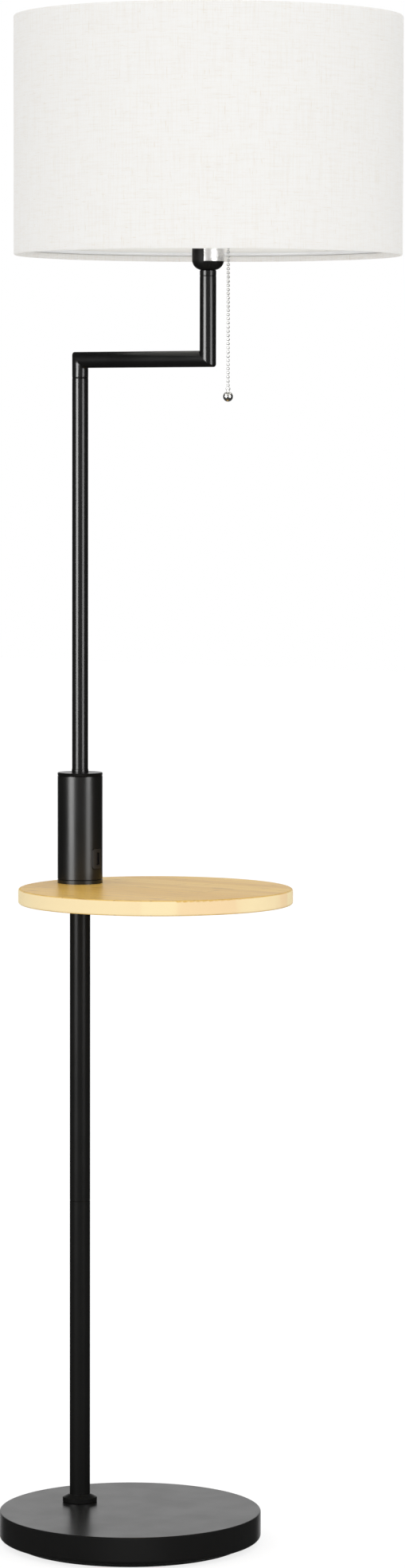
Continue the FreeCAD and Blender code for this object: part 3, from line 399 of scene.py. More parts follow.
@dataclass(frozen=True)
class Linen(Finish):
    """Off-white linen-look cloth: crossed threads, with slubs that run along either thread and
    painted shade in the grooves between threads.
    """

    ground: Colour = (0.965, 0.957, 0.935)
    shade: Colour = (0.898, 0.862, 0.805)
    slub: Colour = (0.80, 0.72, 0.60)
    thread: float = 0.62 * MM
    depth: float = 0.10 * MM
    upright: Scale = (640, 20, 1)
    level: Scale = (34, 640, 1)
    level_slubs: Scale = (90, 850, 1)
    upright_slubs: Scale = (850, 65, 1)
    tone_share: float = 0.4
    slub_share: float = 0.5
    groove_shade_share: float = 0.08

    def slubs(self, graph: Graph, scale: Scale) -> Socket:
        """Gives sparse marks along one thread.

        Args:
            graph: The graph to add to.
            scale: Repeats in a metre along the cloth's two ways.

        Returns:
            The marks, from 0 to the slubs' share.
        """
        marks = graph.noise(graph.place(Space.FLAT, scale), 2.0, roughness=0.6)
        return graph.ramp(marks, 0.60, 0.76, 0.0, self.slub_share)

    def uneven(self, graph: Graph, scale: Scale) -> Socket:
        """Gives the uneven tone of one set of threads."""
        tone = graph.noise(graph.place(Space.FLAT, scale), 3.0, roughness=0.6)
        return graph.ramp(tone, 0.42, 0.72, 0.0, self.tone_share)

    def threads(self, graph: Graph, across: float, up: float) -> Socket:
        """Gives the rounded backs of one set of threads.

        Args:
            graph: The graph to add to.
            across: Repeats round the drum.
            up: Repeats up the drum.

        Returns:
            The backs, from 0 to 1.
        """
        flat = graph.place(Space.FLAT, (across, up, 0.0))
        return graph.add("TexWave", {"Vector": flat, "Scale": 1.0 / TURN * 2, "Distortion": 1.2,
                                     "Detail": 2.0, "Detail Scale": 0.35}, "Fac",
                         bands_direction="X" if across > up else "Y")

    def make(self, graph: SurfaceGraph) -> bpy.types.Material:
        """Builds the material.

        Args:
            graph: Empty node graph with a shader.

        Returns:
            The finished material.
        """
        pitch = math.pi / self.thread
        warp = self.threads(graph, pitch, pitch * 0.2)
        weft = self.threads(graph, pitch * 0.2, pitch)
        weave = graph.calc("MAXIMUM", warp, weft)
        tone = graph.calc("ADD", self.uneven(graph, self.upright), self.uneven(graph, self.level))
        cloth = graph.mix(tone, self.ground, self.shade)
        marks = graph.calc("MAXIMUM", self.slubs(graph, self.level_slubs),
                           self.slubs(graph, self.upright_slubs))
        cloth = graph.mix(marks, cloth, self.slub)
        # Painted shade: the grooves between the threads are darkened towards the slub colour.
        cloth = graph.mix(graph.ramp(weave, 0.0, 0.5, self.groove_shade_share, 0.0), cloth, self.slub)
        graph.bump(graph.calc("ADD", weave, marks), self.depth, 0.7)
        return graph.dress(Base_Color=cloth, Roughness=0.9, Specular_IOR_Level=0.2,
                           Sheen_Weight=0.15, Sheen_Roughness=0.5)


@dataclass(frozen=True)
class Board(Finish):
    """Green circuit board with fine copper tracks under the lacquer."""

    lacquer: Colour = (0.012, 0.105, 0.045)
    track: Colour = (0.03, 0.21, 0.085)
    layout: Scale = (0, 210, 160)
    gap: float = 0.09

    def make(self, graph: SurfaceGraph) -> bpy.types.Material:
        """Builds the material.

        Args:
            graph: Empty node graph with a shader.

        Returns:
            The finished material.
        """
        bricks = graph.add("TexBrick", {"Vector": graph.place(Space.SOLID, self.layout),
                                        "Scale": 1.0, "Mortar Size": self.gap}, "Fac")
        grain = graph.noise(graph.place(Space.SOLID, (900, 900, 900)), 2.0)
        graph.bump(graph.calc("ADD", bricks, grain), 0.04 * MM)
        return graph.dress(Base_Color=graph.mix(bricks, self.lacquer, self.track), Roughness=0.35)


class Look:
    """The finishes of the lamp, by what they are on."""

    COAT = Coat("black_coat", (0.0068, 0.0068, 0.0064), 0.30, grain=0.7 * MM, depth=0.0025 * MM,
                gloss=0.6)
    ENAMEL = Coat("black_gloss", (0.005, 0.005, 0.0048), 0.24, grain=2.2 * MM,
                  depth=0.0006 * MM, gloss=0.42)
    POLE = Coat("black_coat", (0.0075, 0.0075, 0.0070), 0.30, grain=0.7 * MM, depth=0.0025 * MM,
                gloss=0.22, kind="pole")
    CUP = Coat("black_coat", (0.0085, 0.0085, 0.0080), 0.46, grain=0.7 * MM, depth=0.0025 * MM,
               gloss=0.12, kind="cup")
    HOUSING = Coat("black_plastic", (0.0038, 0.0040, 0.0036), 0.30, grain=0.5 * MM,
                   depth=0.002 * MM, gloss=0.53)
    # Painted shade: a dark, dull finish for the washer face that fills the gap under the arm,
    # standing in for the shaded seam.
    SEAM_SHADE = Coat("black_plastic", (0.003, 0.003, 0.003), 0.5, grain=0.5 * MM, depth=0.002 * MM,
                gloss=0.1, kind="seam")
    BAMBOO = Bamboo("bamboo")
    LINEN = Linen("linen")
    LINER = Coat("liner_film", (0.94, 0.925, 0.89), 0.55, grain=1.3 * MM, depth=0.02 * MM,
                 patch=14 * MM, mottle=0.05)
    WIRE = Coat("white_wire", (0.86, 0.87, 0.88), 0.3, grain=1.5 * MM, depth=0.02 * MM, mottle=0.03)
    ZINC = Metal("zinc", (0.62, 0.63, 0.66), 0.32, tarnish=0.2)
    BRASS = Metal("brass", (0.73, 0.52, 0.23), 0.24)
    CHAIN = Metal("chain_chrome", (0.76, 0.76, 0.745), 0.42, patch=4 * MM, tarnish=0.1)
    BALL = Metal("chain_chrome", (0.92, 0.92, 0.90), 0.16, patch=4 * MM, tarnish=0.1, kind="polish")
    FOIL = Metal("foil", (0.93, 0.93, 0.93), 0.26, brush=(300.0, 300.0, 60.0), depth=0.006 * MM,
                 patch=7 * MM, tarnish=0.08)
    SHELL = Metal("shell_metal", (0.70, 0.68, 0.62), 0.22)
    CAST = Coat("cast", (0.23, 0.22, 0.20), 0.85, grain=1.6 * MM, depth=0.25 * MM, mottle=0.25)
    PAD = Coat("rubber_pad", (0.016, 0.016, 0.016), 0.75, grain=1.2 * MM, depth=0.08 * MM)
    BUSHING = Coat("bushing", (0.011, 0.011, 0.011), 0.5, grain=0.5 * MM, depth=0.02 * MM)
    PHENOLIC = Coat("phenolic", (0.022, 0.015, 0.011), 0.28, grain=0.5 * MM, depth=0.01 * MM,
                    mottle=0.35)
    PORT = Coat("port_black", (0.012, 0.012, 0.013), 0.42, grain=0.3 * MM, depth=0.012 * MM)
    PORT_STEEL = Metal("port_steel", (0.10, 0.10, 0.105), 0.35)
    TONGUE = Coat("tongue_black", (0.012, 0.012, 0.012), 0.45, grain=0.4 * MM)
    CONTACT = Metal("gold_contact", (0.85, 0.62, 0.26), 0.18)
    BOARD = Board("board")
    TAPE = Coat("coil_tape", (0.62, 0.42, 0.05), 0.35, grain=2.5 * MM, depth=0.05 * MM)
    SLEEVE = Coat("capacitor_sleeve", (0.012, 0.018, 0.05), 0.28, grain=0.6 * MM)


# ---------------------------------------------------------------- outlines and meshes


def soften(corners: Sequence[Corner], closed: bool = True, steps: int = 4) -> list[Point]:
    """Rounds the corners of an outline.

    Args:
        corners: Each corner's place, across and up, and its radius.
        closed: Whether the last corner joins the first one.
        steps: Straight pieces in each rounded corner.

    Returns:
        The outline's points.
    """
    outline: list[Point] = []
    last = len(corners) - 1
    for i, (across, up, radius) in enumerate(corners):
        here = Vector((across, up))
        if radius <= 0 or (not closed and i in (0, last)):
            outline.append((across, up))
            continue
        before = (Vector(corners[i - 1][:2]) - here).normalized()
        after = (Vector(corners[(i + 1) % (last + 1)][:2]) - here).normalized()
        half = before.angle(after) / 2
        centre = here + (before + after).normalized() * radius / math.sin(half)
        start = here + before * radius / math.tan(half) - centre
        end = here + after * radius / math.tan(half) - centre
        sweep = math.pi - 2 * half
        for step in range(steps + 1):
            share = step / steps
            spot = centre + (start * math.sin((1 - share) * sweep)
                             + end * math.sin(share * sweep)) / math.sin(sweep)
            outline.append((spot.x, spot.y))
    return outline


def around(middle: Vector, radius: float, angle: float, height: float = 0.0) -> Vector:
    """Returns a point of a circle about an upright axis, at a height above its middle."""
    return middle + Vector((radius * math.cos(angle), radius * math.sin(angle), height))


Ripple = Callable[[float, float, float], float]


def no_ripple(angle: float, radius: float, height: float) -> float:
    """Leaves a turned surface plain."""
    return 0.0


class Shape:
    """Points and faces of one piece, gathered patch by patch."""

    def __init__(self) -> None:
        """Starts an empty shape."""
        self.points: list[Vector] = []
        self.faces: list[tuple[int, ...]] = []
        self.flats: list[Point] = []

    def net(self, rows: Sequence[Sequence[Vector]], loop: bool = False, capped: bool = False,
            girth: float = 1.0) -> None:
        """Adds a net of quads whose rows close on themselves.

        Args:
            rows: Rows of points, all equally long.
            loop: Whether the last row joins the first one.
            capped: Whether the first and last row are filled in.
            girth: Length of a row on the flat pattern.
        """
        first = len(self.points)
        wide = len(rows[0])
        for row in rows:
            self.points.extend(row)
        heights = [0.0]
        for i in range(1, len(rows) + 1):
            gap = (rows[i % len(rows)][0] - rows[i - 1][0]).length
            heights.append(heights[-1] + gap)
        for i in range(len(rows) if loop else len(rows) - 1):
            low, high = first + i * wide, first + (i + 1) % len(rows) * wide
            for j in range(wide):
                k = (j + 1) % wide
                self.faces.append((low + j, low + k, high + k, high + j))
                left, right = girth * j / wide, girth * (j + 1) / wide
                self.flats += [(left, heights[i]), (right, heights[i]),
                               (right, heights[i + 1]), (left, heights[i + 1])]
        if capped:
            for start, turned in ((first, True), (first + (len(rows) - 1) * wide, False)):
                ring = list(range(start, start + wide))
                self.faces.append(tuple(reversed(ring) if turned else ring))
                middle = sum((self.points[i] for i in ring), Vector()) / wide
                spots = [self.points[i] - middle for i in ring]
                self.flats += [(p.x, p.y) for p in (reversed(spots) if turned else spots)]

    def turn(self, outline: Sequence[Point], middle: Vector, sides: int, loop: bool = True,
             ripple: Ripple = no_ripple) -> None:
        """Spins an outline of radius and height about an upright axis.

        Args:
            outline: Radius and height above the middle of each point.
            middle: A point of the axis.
            sides: Straight sides of the circle.
            loop: Whether the outline is a closed one; an open one is filled in at its ends.
            ripple: Gives how far the surface stands out at an angle, radius and height.
        """
        rows = []
        for radius, height in outline:
            row = []
            for j in range(sides):
                angle = TURN * j / sides
                reach = radius + ripple(angle, radius, height)
                row.append(around(middle, reach, angle, height))
            rows.append(row)
        self.net(rows, loop, not loop, TURN * max(r for r, _ in outline))

    def wire(self, path: Sequence[Vector], radius: float, sides: int = 14,
             loop: bool = False) -> None:
        """Adds a round wire along a path.

        Args:
            path: Points of the wire's middle line.
            radius: Radius of the wire.
            sides: Straight sides of its section.
            loop: Whether the path closes on itself.
        """
        count = len(path)
        rows = []
        side = Vector((0, 0, 1))
        for i, spot in enumerate(path):
            before = path[i - 1] if loop or i else spot
            after = path[(i + 1) % count] if loop or i < count - 1 else spot
            ahead = (after - before).normalized()
            side = side - ahead * side.dot(ahead)
            if side.length < PARALLEL:
                side = ahead.orthogonal()
            side.normalize()
            other = ahead.cross(side)
            rows.append([spot + radius * (side * math.cos(TURN * j / sides)
                                          + other * math.sin(TURN * j / sides))
                         for j in range(sides)])
        self.net(rows, loop, not loop, TURN * radius)

    def piece(self, name: str, finish: Finish, body: Body,
              stands_for: Sequence[str] = ()) -> bpy.types.Object:
        """Makes the piece.

        Args:
            name: Name of the piece.
            finish: What it is finished in.
            body: What it moves with.
            stands_for: Nodes that it takes the place of.

        Returns:
            The piece's object.
        """
        mesh = bpy.data.meshes.new(name)
        mesh.from_pydata([tuple(p) for p in self.points], [], self.faces)
        layer = mesh.uv_layers.new(name="flat")
        layer.data.foreach_set("uv", [c for flat in self.flats for c in flat])
        build = bmesh.new()
        build.from_mesh(mesh)
        bmesh.ops.recalc_face_normals(build, faces=build.faces)
        build.to_mesh(mesh)
        build.free()
        mesh.shade_smooth()
        mesh.set_sharp_from_angle(angle=SHARP)
        mesh.materials.append(finish.material())
        item = bpy.data.objects.new(name, mesh)
        bpy.context.scene.collection.objects.link(item)
        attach(item, body.value)
        if stands_for:
            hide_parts(*stands_for)
        log.info("%s: %d faces", name, len(mesh.polygons))
        return item


def dress_nodes(finishes: dict[Finish, Sequence[str]]) -> None:
    """Gives nodes that keep their own shape their finish.

    Args:
        finishes: The nodes that each finish is on.
    """
    for finish, names in finishes.items():
        for name in names:
            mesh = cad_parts[name].data
            mesh.materials.clear()
            mesh.materials.append(finish.material())
            log.info("%s: %s", name, finish.slot)


def middle_of(node: str) -> Vector:
    """Returns the foot of the upright axis through a node's middle."""
    low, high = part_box(node)
    return Vector(((low.x + high.x) / 2, (low.y + high.y) / 2, low.z))


def reach_of(node: str) -> float:
    """Returns half a node's width along Y."""
    low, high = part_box(node)
    return (high.y - low.y) / 2


def height_of(node: str) -> float:
    """Returns a node's height."""
    low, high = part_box(node)
    return high.z - low.z


def bore_of(node: str) -> float:
    """Returns how near a node's points come to its upright axis."""
    middle = middle_of(node)
    return min(math.hypot(v.co.x - middle.x, v.co.y - middle.y)
               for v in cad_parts[node].data.vertices)


# ---------------------------------------------------------------- studio


@dataclass
class Softbox:
    """A tall lit panel that faces the lamp, seen from the camera's side."""

    name: str
    aside: float
    width: float
    height: float
    middle: float
    away: float
    radiance: float
    matt: bool

    def build(self, towards: Vector) -> bpy.types.Object:
        """Adds the panel.

        Args:
            towards: Level direction from the lamp to the camera.

        Returns:
            The panel's object.
        """
        light = bpy.data.lights.new(self.name, "AREA")
        light.shape = "RECTANGLE"
        light.size = self.width
        light.size_y = self.height
        light.energy = self.radiance * math.pi * self.width * self.height
        item = bpy.data.objects.new(self.name, light)
        bpy.context.scene.collection.objects.link(item)
        out = Matrix.Rotation(math.radians(self.aside), 3, "Z") @ towards
        item.location = out * self.away + Vector((0, 0, self.middle))
        item.rotation_euler = out.to_track_quat("Z", "Y").to_euler()
        item.visible_camera = False
        item.visible_diffuse = self.matt
        item.visible_glossy = not self.matt
        return item


@dataclass
class Studio:
    """Camera, pale floor, soft light and a white surround."""

    focal_pixels: float = 6310.3
    image_height: float = 1969.0
    sensor: float = 36.0
    bearing: float = 38.0
    distance: float = 4.9349
    eye_height: float = 1.1014
    heading: float = 37.181
    tilt: float = -4.013
    roll: float = 0.116
    floor_size: float = 30.0
    floor_white: float = 0.8
    paper: tuple[float, float] = (0.80, 0.84)
    paper_seen: float = 0.24
    ambient: float = 0.842
    lift: float = 0.35
    front: tuple[float, float] = (-1.0, -0.75)
    front_glow: float = 0.30
    front_low: float = 0.25
    horizon: tuple[float, float] = (-0.10, -0.03)
    least_glow: float = 0.045
    backdrop: tuple[float, float] = (0.86, 0.98)
    panels: list[Softbox] = field(default_factory=lambda: [
        Softbox("left_high", -46.0, 1.2, 1.5, 1.68, 2.5, 16.0, False),
        Softbox("left_low", -46.0, 1.2, 0.43, 0.715, 2.5, 12.0, False),
        Softbox("right_high", 44.0, 1.0, 1.5, 1.68, 2.5, 6.5, False),
        Softbox("right_low", 44.0, 1.0, 0.43, 0.715, 2.5, 9.0, False),
        Softbox("front_fill", 4.0, 3.0, 2.4, 1.3, 3.2, 0.62, True)])
    level_tops: tuple[str, ...] = ("base_cover", "table_top", "housing_cap")

    def build(self) -> None:
        """Builds the camera, the floor, the surround and the panels."""
        self.camera()
        self.floor()
        self.surround()
        angle = math.radians(self.bearing)
        towards = Vector((math.sin(angle), -math.cos(angle), 0.0))
        glare_free = self.glare_free()
        for panel in self.panels:
            item = panel.build(towards)
            if not panel.matt:
                item.light_linking.receiver_collection = glare_free
        bpy.context.scene.view_settings.view_transform = "Standard"
        log.info("studio: %d panels", len(self.panels))

    def glare_free(self) -> bpy.types.Collection:
        """Gathers the level tops, which the bright panels leave out.

        Returns:
            The collection for the panels' light linking.
        """
        tops = bpy.data.collections.new("level_tops")
        for name in self.level_tops:
            tops.objects.link(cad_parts[name])
        for entry in tops.collection_objects:
            entry.light_linking.link_state = "EXCLUDE"
        return tops

    def camera(self) -> None:
        """Sets the camera up as it stood for the photograph."""
        data = bpy.data.cameras.new("camera")
        data.sensor_width = self.sensor
        data.lens = self.focal_pixels / self.image_height * self.sensor
        data.clip_end = 60.0
        item = bpy.data.objects.new("camera", data)
        bpy.context.scene.collection.objects.link(item)
        angle = math.radians(self.bearing)
        heading, tilt, roll = (math.radians(a) for a in (self.heading, self.tilt, self.roll))
        ahead = Vector((-math.sin(heading) * math.cos(tilt),
                        math.cos(heading) * math.cos(tilt), math.sin(tilt)))
        level = Vector((math.cos(heading), math.sin(heading), 0.0))
        above = level.cross(ahead)
        right = level * math.cos(roll) + above * math.sin(roll)
        up = above * math.cos(roll) - level * math.sin(roll)
        turned = Matrix((right, up, -ahead)).transposed().to_4x4()
        place = Vector((math.sin(angle) * self.distance, -math.cos(angle) * self.distance,
                        self.eye_height))
        item.matrix_world = Matrix.Translation(place) @ turned
        bpy.context.scene.camera = item

    def floor(self) -> None:
        """Lays a pale floor that keeps a faint shadow."""
        half = self.floor_size / 2
        mesh = bpy.data.meshes.new("floor")
        mesh.from_pydata([(-half, -half, 0), (half, -half, 0), (half, half, 0), (-half, half, 0)],
                         [], [(0, 1, 2, 3)])
        item = bpy.data.objects.new("floor", mesh)
        bpy.context.scene.collection.objects.link(item)
        graph = SurfaceGraph("floor_paper")
        seen = graph.add("LightPath", {}, "Is Camera Ray")
        grain = graph.noise(graph.place(Space.SOLID, (40, 40, 40)), 3.0)
        paper = graph.mix(grain, *((white,) * 3 for white in self.paper))
        graph.dress(Base_Color=graph.mix(seen, paper, (self.paper_seen,) * 3), Roughness=1.0,
                    Specular_IOR_Level=0.0, Emission_Color=(1.0, 1.0, 1.0),
                    Emission_Strength=graph.calc("MULTIPLY", seen, self.floor_white))
        mesh.materials.append(graph.material)
        item.visible_glossy = False

    def surround(self) -> None:
        """Makes the surround: white to the eye, soft on cloth, and banded in glossy paint."""
        world = bpy.data.worlds.new("surround")
        world.use_nodes = True
        bpy.context.scene.world = world
        graph = Graph(world.node_tree)
        angle = math.radians(self.bearing)
        behind = (-math.sin(angle), math.cos(angle), 0.0)
        way = graph.add("TexCoord", {}, "Generated")
        facing = graph.add("VectorMath", {0: way, 1: behind}, "Value", operation="DOT_PRODUCT")
        height = graph.add("SeparateXYZ", {0: way}, "Z")
        ahead = graph.calc("MULTIPLY", graph.ramp(facing, *self.front, self.front_glow, 0.0),
                           graph.ramp(height, *self.horizon, self.front_low, 1.0))
        banded = graph.calc("MAXIMUM", graph.calc("ADD", ahead, self.least_glow),
                            graph.ramp(facing, *self.backdrop))
        glossy = graph.add("LightPath", {}, "Is Glossy Ray")
        rays = glossy.node.outputs
        sky = graph.calc("ADD", graph.calc("MULTIPLY", height, self.ambient * self.lift),
                         self.ambient)
        soft = graph.calc("MULTIPLY", graph.calc("SUBTRACT", 1.0, glossy), sky)
        light = graph.calc("ADD", graph.calc("MULTIPLY", glossy, banded), soft)
        seen = graph.calc("MAXIMUM", rays["Is Camera Ray"], rays["Is Transmission Ray"])
        shine = graph.add("Background", {"Color": (1.0,) * 4,
                                         "Strength": graph.calc("MAXIMUM", light, seen)})
        out = graph.tree.nodes.new("ShaderNodeOutputWorld")
        graph.tree.links.new(shine, out.inputs["Surface"])


# ---------------------------------------------------------------- stand


@dataclass
class LampBase:
    """Weighted base with its pressed cover, pad, bushing, fixing and collar."""

    def build(self) -> None:
        """Dresses the base's nodes."""
        dress_nodes({Look.COAT: ["base_cover"], Look.POLE: ["base_collar"],
                     Look.CAST: ["base_weight"], Look.PAD: ["base_pad"],
                     Look.BUSHING: ["cord_bushing"],
                     Look.ZINC: ["base_stem", "base_washer", "base_nut"]})


@dataclass
class LowerPole:
    """Two screwed pole sections with their plugs and coupler."""

    def build(self) -> None:
        """Dresses the pole's nodes."""
        dress_nodes({Look.POLE: ["lower_pole_bottom", "lower_pole_top"],
                     Look.ZINC: ["pole_foot_plug", "pole_coupler", "pole_top_plug"]})


@dataclass
class SideTable:
    """Bamboo top on its steel flange."""

    def build(self) -> None:
        """Dresses the table's nodes."""
        dress_nodes({Look.COAT: ["table_flange"], Look.BAMBOO: ["table_top"]})


@dataclass
class PowerHousing:
    """Power housing with its port, board and the rod and ring that clamp it."""

    def build(self) -> None:
        """Dresses the housing's nodes."""
        dress_nodes({
            Look.HOUSING: ["housing_foot", "housing_shell", "housing_cap"],
            Look.PORT: ["usb_plate"], Look.PORT_STEEL: ["usb_shell"],
            Look.TONGUE: ["usb_tongue"], Look.CONTACT: ["usb_contacts"],
            Look.BOARD: ["power_board"], Look.TAPE: ["transformer"],
            Look.SLEEVE: ["capacitors"], Look.ZINC: ["core_rod"], Look.ENAMEL: ["clamp_ring"]})


@dataclass
class UpperPole:
    """Upper pole with the bush and washer that the arm turns on."""

    inset: float = 0.05 * MM
    step: float = 0.3 * MM
    play: float = 0.03 * MM
    sides: int = 96

    def build(self) -> None:
        """Makes the washer and dresses the upper pole's nodes."""
        self.washer()
        dress_nodes({Look.ENAMEL: ["upper_pole"], Look.ZINC: ["upper_foot_plug"],
                     Look.BRASS: ["swivel_bush"]})

    def washer(self) -> None:
        """Makes the washer, with a raised face that leaves only a hair of play under the arm; its
        dark, dull face fills the gap and stands in for the seam's shade.
        """
        middle = middle_of("swivel_washer")
        wide, high = reach_of("upper_pole") - self.inset, height_of("swivel_washer")
        bore = bore_of("swivel_washer")
        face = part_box("swing_arm")[0].z - middle.z - self.play
        shape = Shape()
        shape.turn([(bore, 0.0), (wide, 0.0), (wide, high), (wide - self.step, high),
                    (wide - self.step, face), (bore, face)], middle, self.sides)
        # Painted shade: the washer is dark and dull so that the filled gap reads as the shaded seam.
        shape.piece("seam_shade_washer", Look.SEAM_SHADE, Body.STAND, ["swivel_washer"])


# ---------------------------------------------------------------- arm


@dataclass
class SwingArm:
    """Z-shaped tube with two mitred and slightly eased elbows."""

    wall: float = 1.0 * MM
    ease: float = 1.6 * MM
    end_edge: float = 0.15 * MM
    sides: int = 96
    steps: int = 5

    def build(self) -> None:
        """Makes the tube and dresses the pieces inside it."""
        low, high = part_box("swing_arm")
        radius = reach_of("swing_arm")
        start = Vector((low.x + radius, 0.0, low.z))
        end = Vector((high.x - radius, 0.0, high.z))
        level = self.middle_height()
        shape = Shape()
        skin = self.lines(start, end, level, radius, self.end_edge)
        lining = self.lines(start, end, level, radius - self.wall, 0.0)
        shape.net(skin + lining[::-1], loop=True, girth=TURN * radius)
        shape.piece("mitred_arm", Look.ENAMEL, Body.ARM, ["swing_arm"])
        dress_nodes({Look.ENAMEL: ["neck_ring"],
                     Look.ZINC: ["arm_pivot", "pivot_clip", "stub_insert", "head_nipple"]})

    def middle_height(self) -> float:
        """Reads where the level run lies from the tube's own points.

        Returns:
            The height of the level run's middle line.
        """
        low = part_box("swing_arm")[0]
        outermost = [v.co.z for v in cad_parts["swing_arm"].data.vertices
                     if v.co.x < low.x + HAIR]
        return max(outermost) - reach_of("swing_arm")

    def lines(self, start: Vector, end: Vector, level: float, radius: float,
              edge: float) -> list[list[Vector]]:
        """Gives the rings of one skin of the tube.

        Args:
            start: Middle of the lower end.
            end: Middle of the upper end.
            level: Height of the level run's middle line.
            radius: Radius of the skin.
            edge: How far the two ends are broken.

        Returns:
            The rings, from the lower end to the upper one.
        """
        columns = []
        slim = 1 - edge / radius
        for j in range(self.sides):
            angle = TURN * j / self.sides
            out, aside = radius * math.cos(angle), radius * math.sin(angle)
            corners = [(start.x + out, start.z, 0.0), (start.x + out, level - out, self.ease),
                       (end.x + out, level - out, self.ease), (end.x + out, end.z, 0.0)]
            if edge:
                corners = ([(start.x + out * slim, start.z, 0.0),
                            (start.x + out, start.z + edge, 0.0)] + corners[1:3]
                           + [(end.x + out, end.z - edge, 0.0),
                              (end.x + out * slim, end.z, 0.0)])
            line = soften(corners, closed=False, steps=self.steps)
            depth = [aside] * len(line)
            if edge:
                depth[0] = depth[-1] = aside * slim
            columns.append([Vector((x, y, z)) for (x, z), y in zip(line, depth)])
        return [list(ring) for ring in zip(*columns)]


@dataclass
class LampHolder:
    """Holder with its cup, foil patch, switch, chain guide, threaded barrel and clamp ring."""

    thread_pitch: float = 2.5 * MM
    thread_depth: float = 0.45 * MM
    shell_pitch: float = 3.62 * MM
    shell_depth: float = 0.32 * MM
    shell_wall: float = 0.5 * MM
    knurls: int = 48
    knurl_sides: int = 8
    knurl_depth: float = 0.55 * MM
    knurl_reach: float = 0.4 * MM
    barrel_radius: float = 17.5 * MM
    spigot_wall: float = 1.95 * MM
    shoulder_height: float = 4.0 * MM
    run_in: float = 0.8 * MM
    run_out: float = 1.2 * MM
    fit: float = 0.05 * MM
    lip: float = 0.6 * MM
    clamp_edge: float = 1.0 * MM
    bore_edge: float = 0.3 * MM
    sides: int = 96
    thread_steps: int = 96
    shell_steps: int = 84

    def build(self) -> None:
        """Makes the threaded and knurled pieces and dresses the rest."""
        self.barrel()
        self.shell()
        self.clamp()
        dress_nodes({Look.CUP: ["holder_cup"], Look.FOIL: ["foil_patch"],
                     Look.BRASS: ["chain_guide", "centre_contact"], Look.PHENOLIC: ["pull_switch"]})

    def thread(self, pitch: float, depth: float, low: float, high: float) -> Ripple:
        """Gives the relief of a screw thread.

        Args:
            pitch: Rise in one turn.
            depth: Depth below the crest.
            low: Height at which the thread starts.
            high: Height at which it ends.

        Returns:
            The ripple.
        """
        def relief(angle: float, radius: float, height: float) -> float:
            """Gives the thread's depth at one spot, faded at both ends."""
            fade = min(1.0, (height - low) / pitch, (high - height) / pitch)
            wave = 0.5 - 0.5 * math.cos(TURN * (height / pitch - angle / TURN))
            return -depth * wave * fade if fade > 0 else 0.0

        return relief

    def barrel(self) -> None:
        """Makes the insulating body: spigot, shoulder, threaded barrel and socket."""
        middle = middle_of("holder_body")
        top = height_of("holder_body")
        cup_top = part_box("holder_cup")[1].z - middle.z
        shoulder_top = cup_top + self.shoulder_height
        spigot = reach_of("pull_switch") + self.spigot_wall
        shoulder = reach_of("holder_body")
        rim = self.barrel_radius
        bore = reach_of("bulb_shell") + self.fit
        floor = top - height_of("bulb_shell")
        low, high = shoulder_top + self.run_in, top - self.run_out
        side = [(rim, low + (high - low) * i / self.thread_steps)
                for i in range(self.thread_steps + 1)]
        outline = ([(bore, floor), (bore, top - self.lip), (bore + self.lip, top),
                    (rim - self.lip, top), (rim, top - self.lip)] + side[::-1]
                   + [(rim, shoulder_top), (shoulder - self.lip, shoulder_top),
                      (shoulder, shoulder_top - self.lip), (shoulder, cup_top + self.lip),
                      (shoulder - self.lip, cup_top), (spigot, cup_top), (spigot, 0.0)])
        shape = Shape()
        relief = self.thread(self.thread_pitch, self.thread_depth, low, high)
        shape.turn(outline, middle, self.sides, loop=False,
                   ripple=lambda a, r, z: relief(a, r, z) if abs(r - rim) < CLOSE else 0.0)
        shape.piece("threaded_body", Look.PHENOLIC, Body.ARM, ["holder_body"])

    def shell(self) -> None:
        """Makes the rolled threaded shell inside the socket."""
        middle = middle_of("bulb_shell")
        high = height_of("bulb_shell")
        outer = reach_of("bulb_shell")
        outside = [(outer, high * i / self.shell_steps) for i in range(self.shell_steps + 1)]
        inside = [(outer - self.shell_wall, z) for _, z in outside[::-1]]
        shape = Shape()
        shape.turn(outside + inside, middle, self.sides,
                   ripple=self.thread(self.shell_pitch, self.shell_depth, 0.0, high))
        shape.piece("rolled_shell", Look.SHELL, Body.ARM, ["bulb_shell"])

    def clamp(self) -> None:
        """Makes the knurled ring that clamps the shade."""
        middle = middle_of("shade_clamp")
        outer, high = reach_of("shade_clamp"), height_of("shade_clamp")
        bore = self.barrel_radius + self.fit
        outline = soften([(bore, 0, self.bore_edge), (outer, 0, self.clamp_edge),
                          (outer, high, self.clamp_edge), (bore, high, self.bore_edge)])

        def knurl(angle: float, radius: float, height: float) -> float:
            """Cuts grip grooves into the ring's outside."""
            deep = max(0.0, math.cos(angle * self.knurls)) ** 2
            return -self.knurl_depth * deep if radius > outer - self.knurl_reach else 0.0

        shape = Shape()
        shape.turn(outline, middle, self.knurls * self.knurl_sides, ripple=knurl)
        shape.piece("knurled_clamp", Look.PHENOLIC, Body.ARM, ["shade_clamp"])


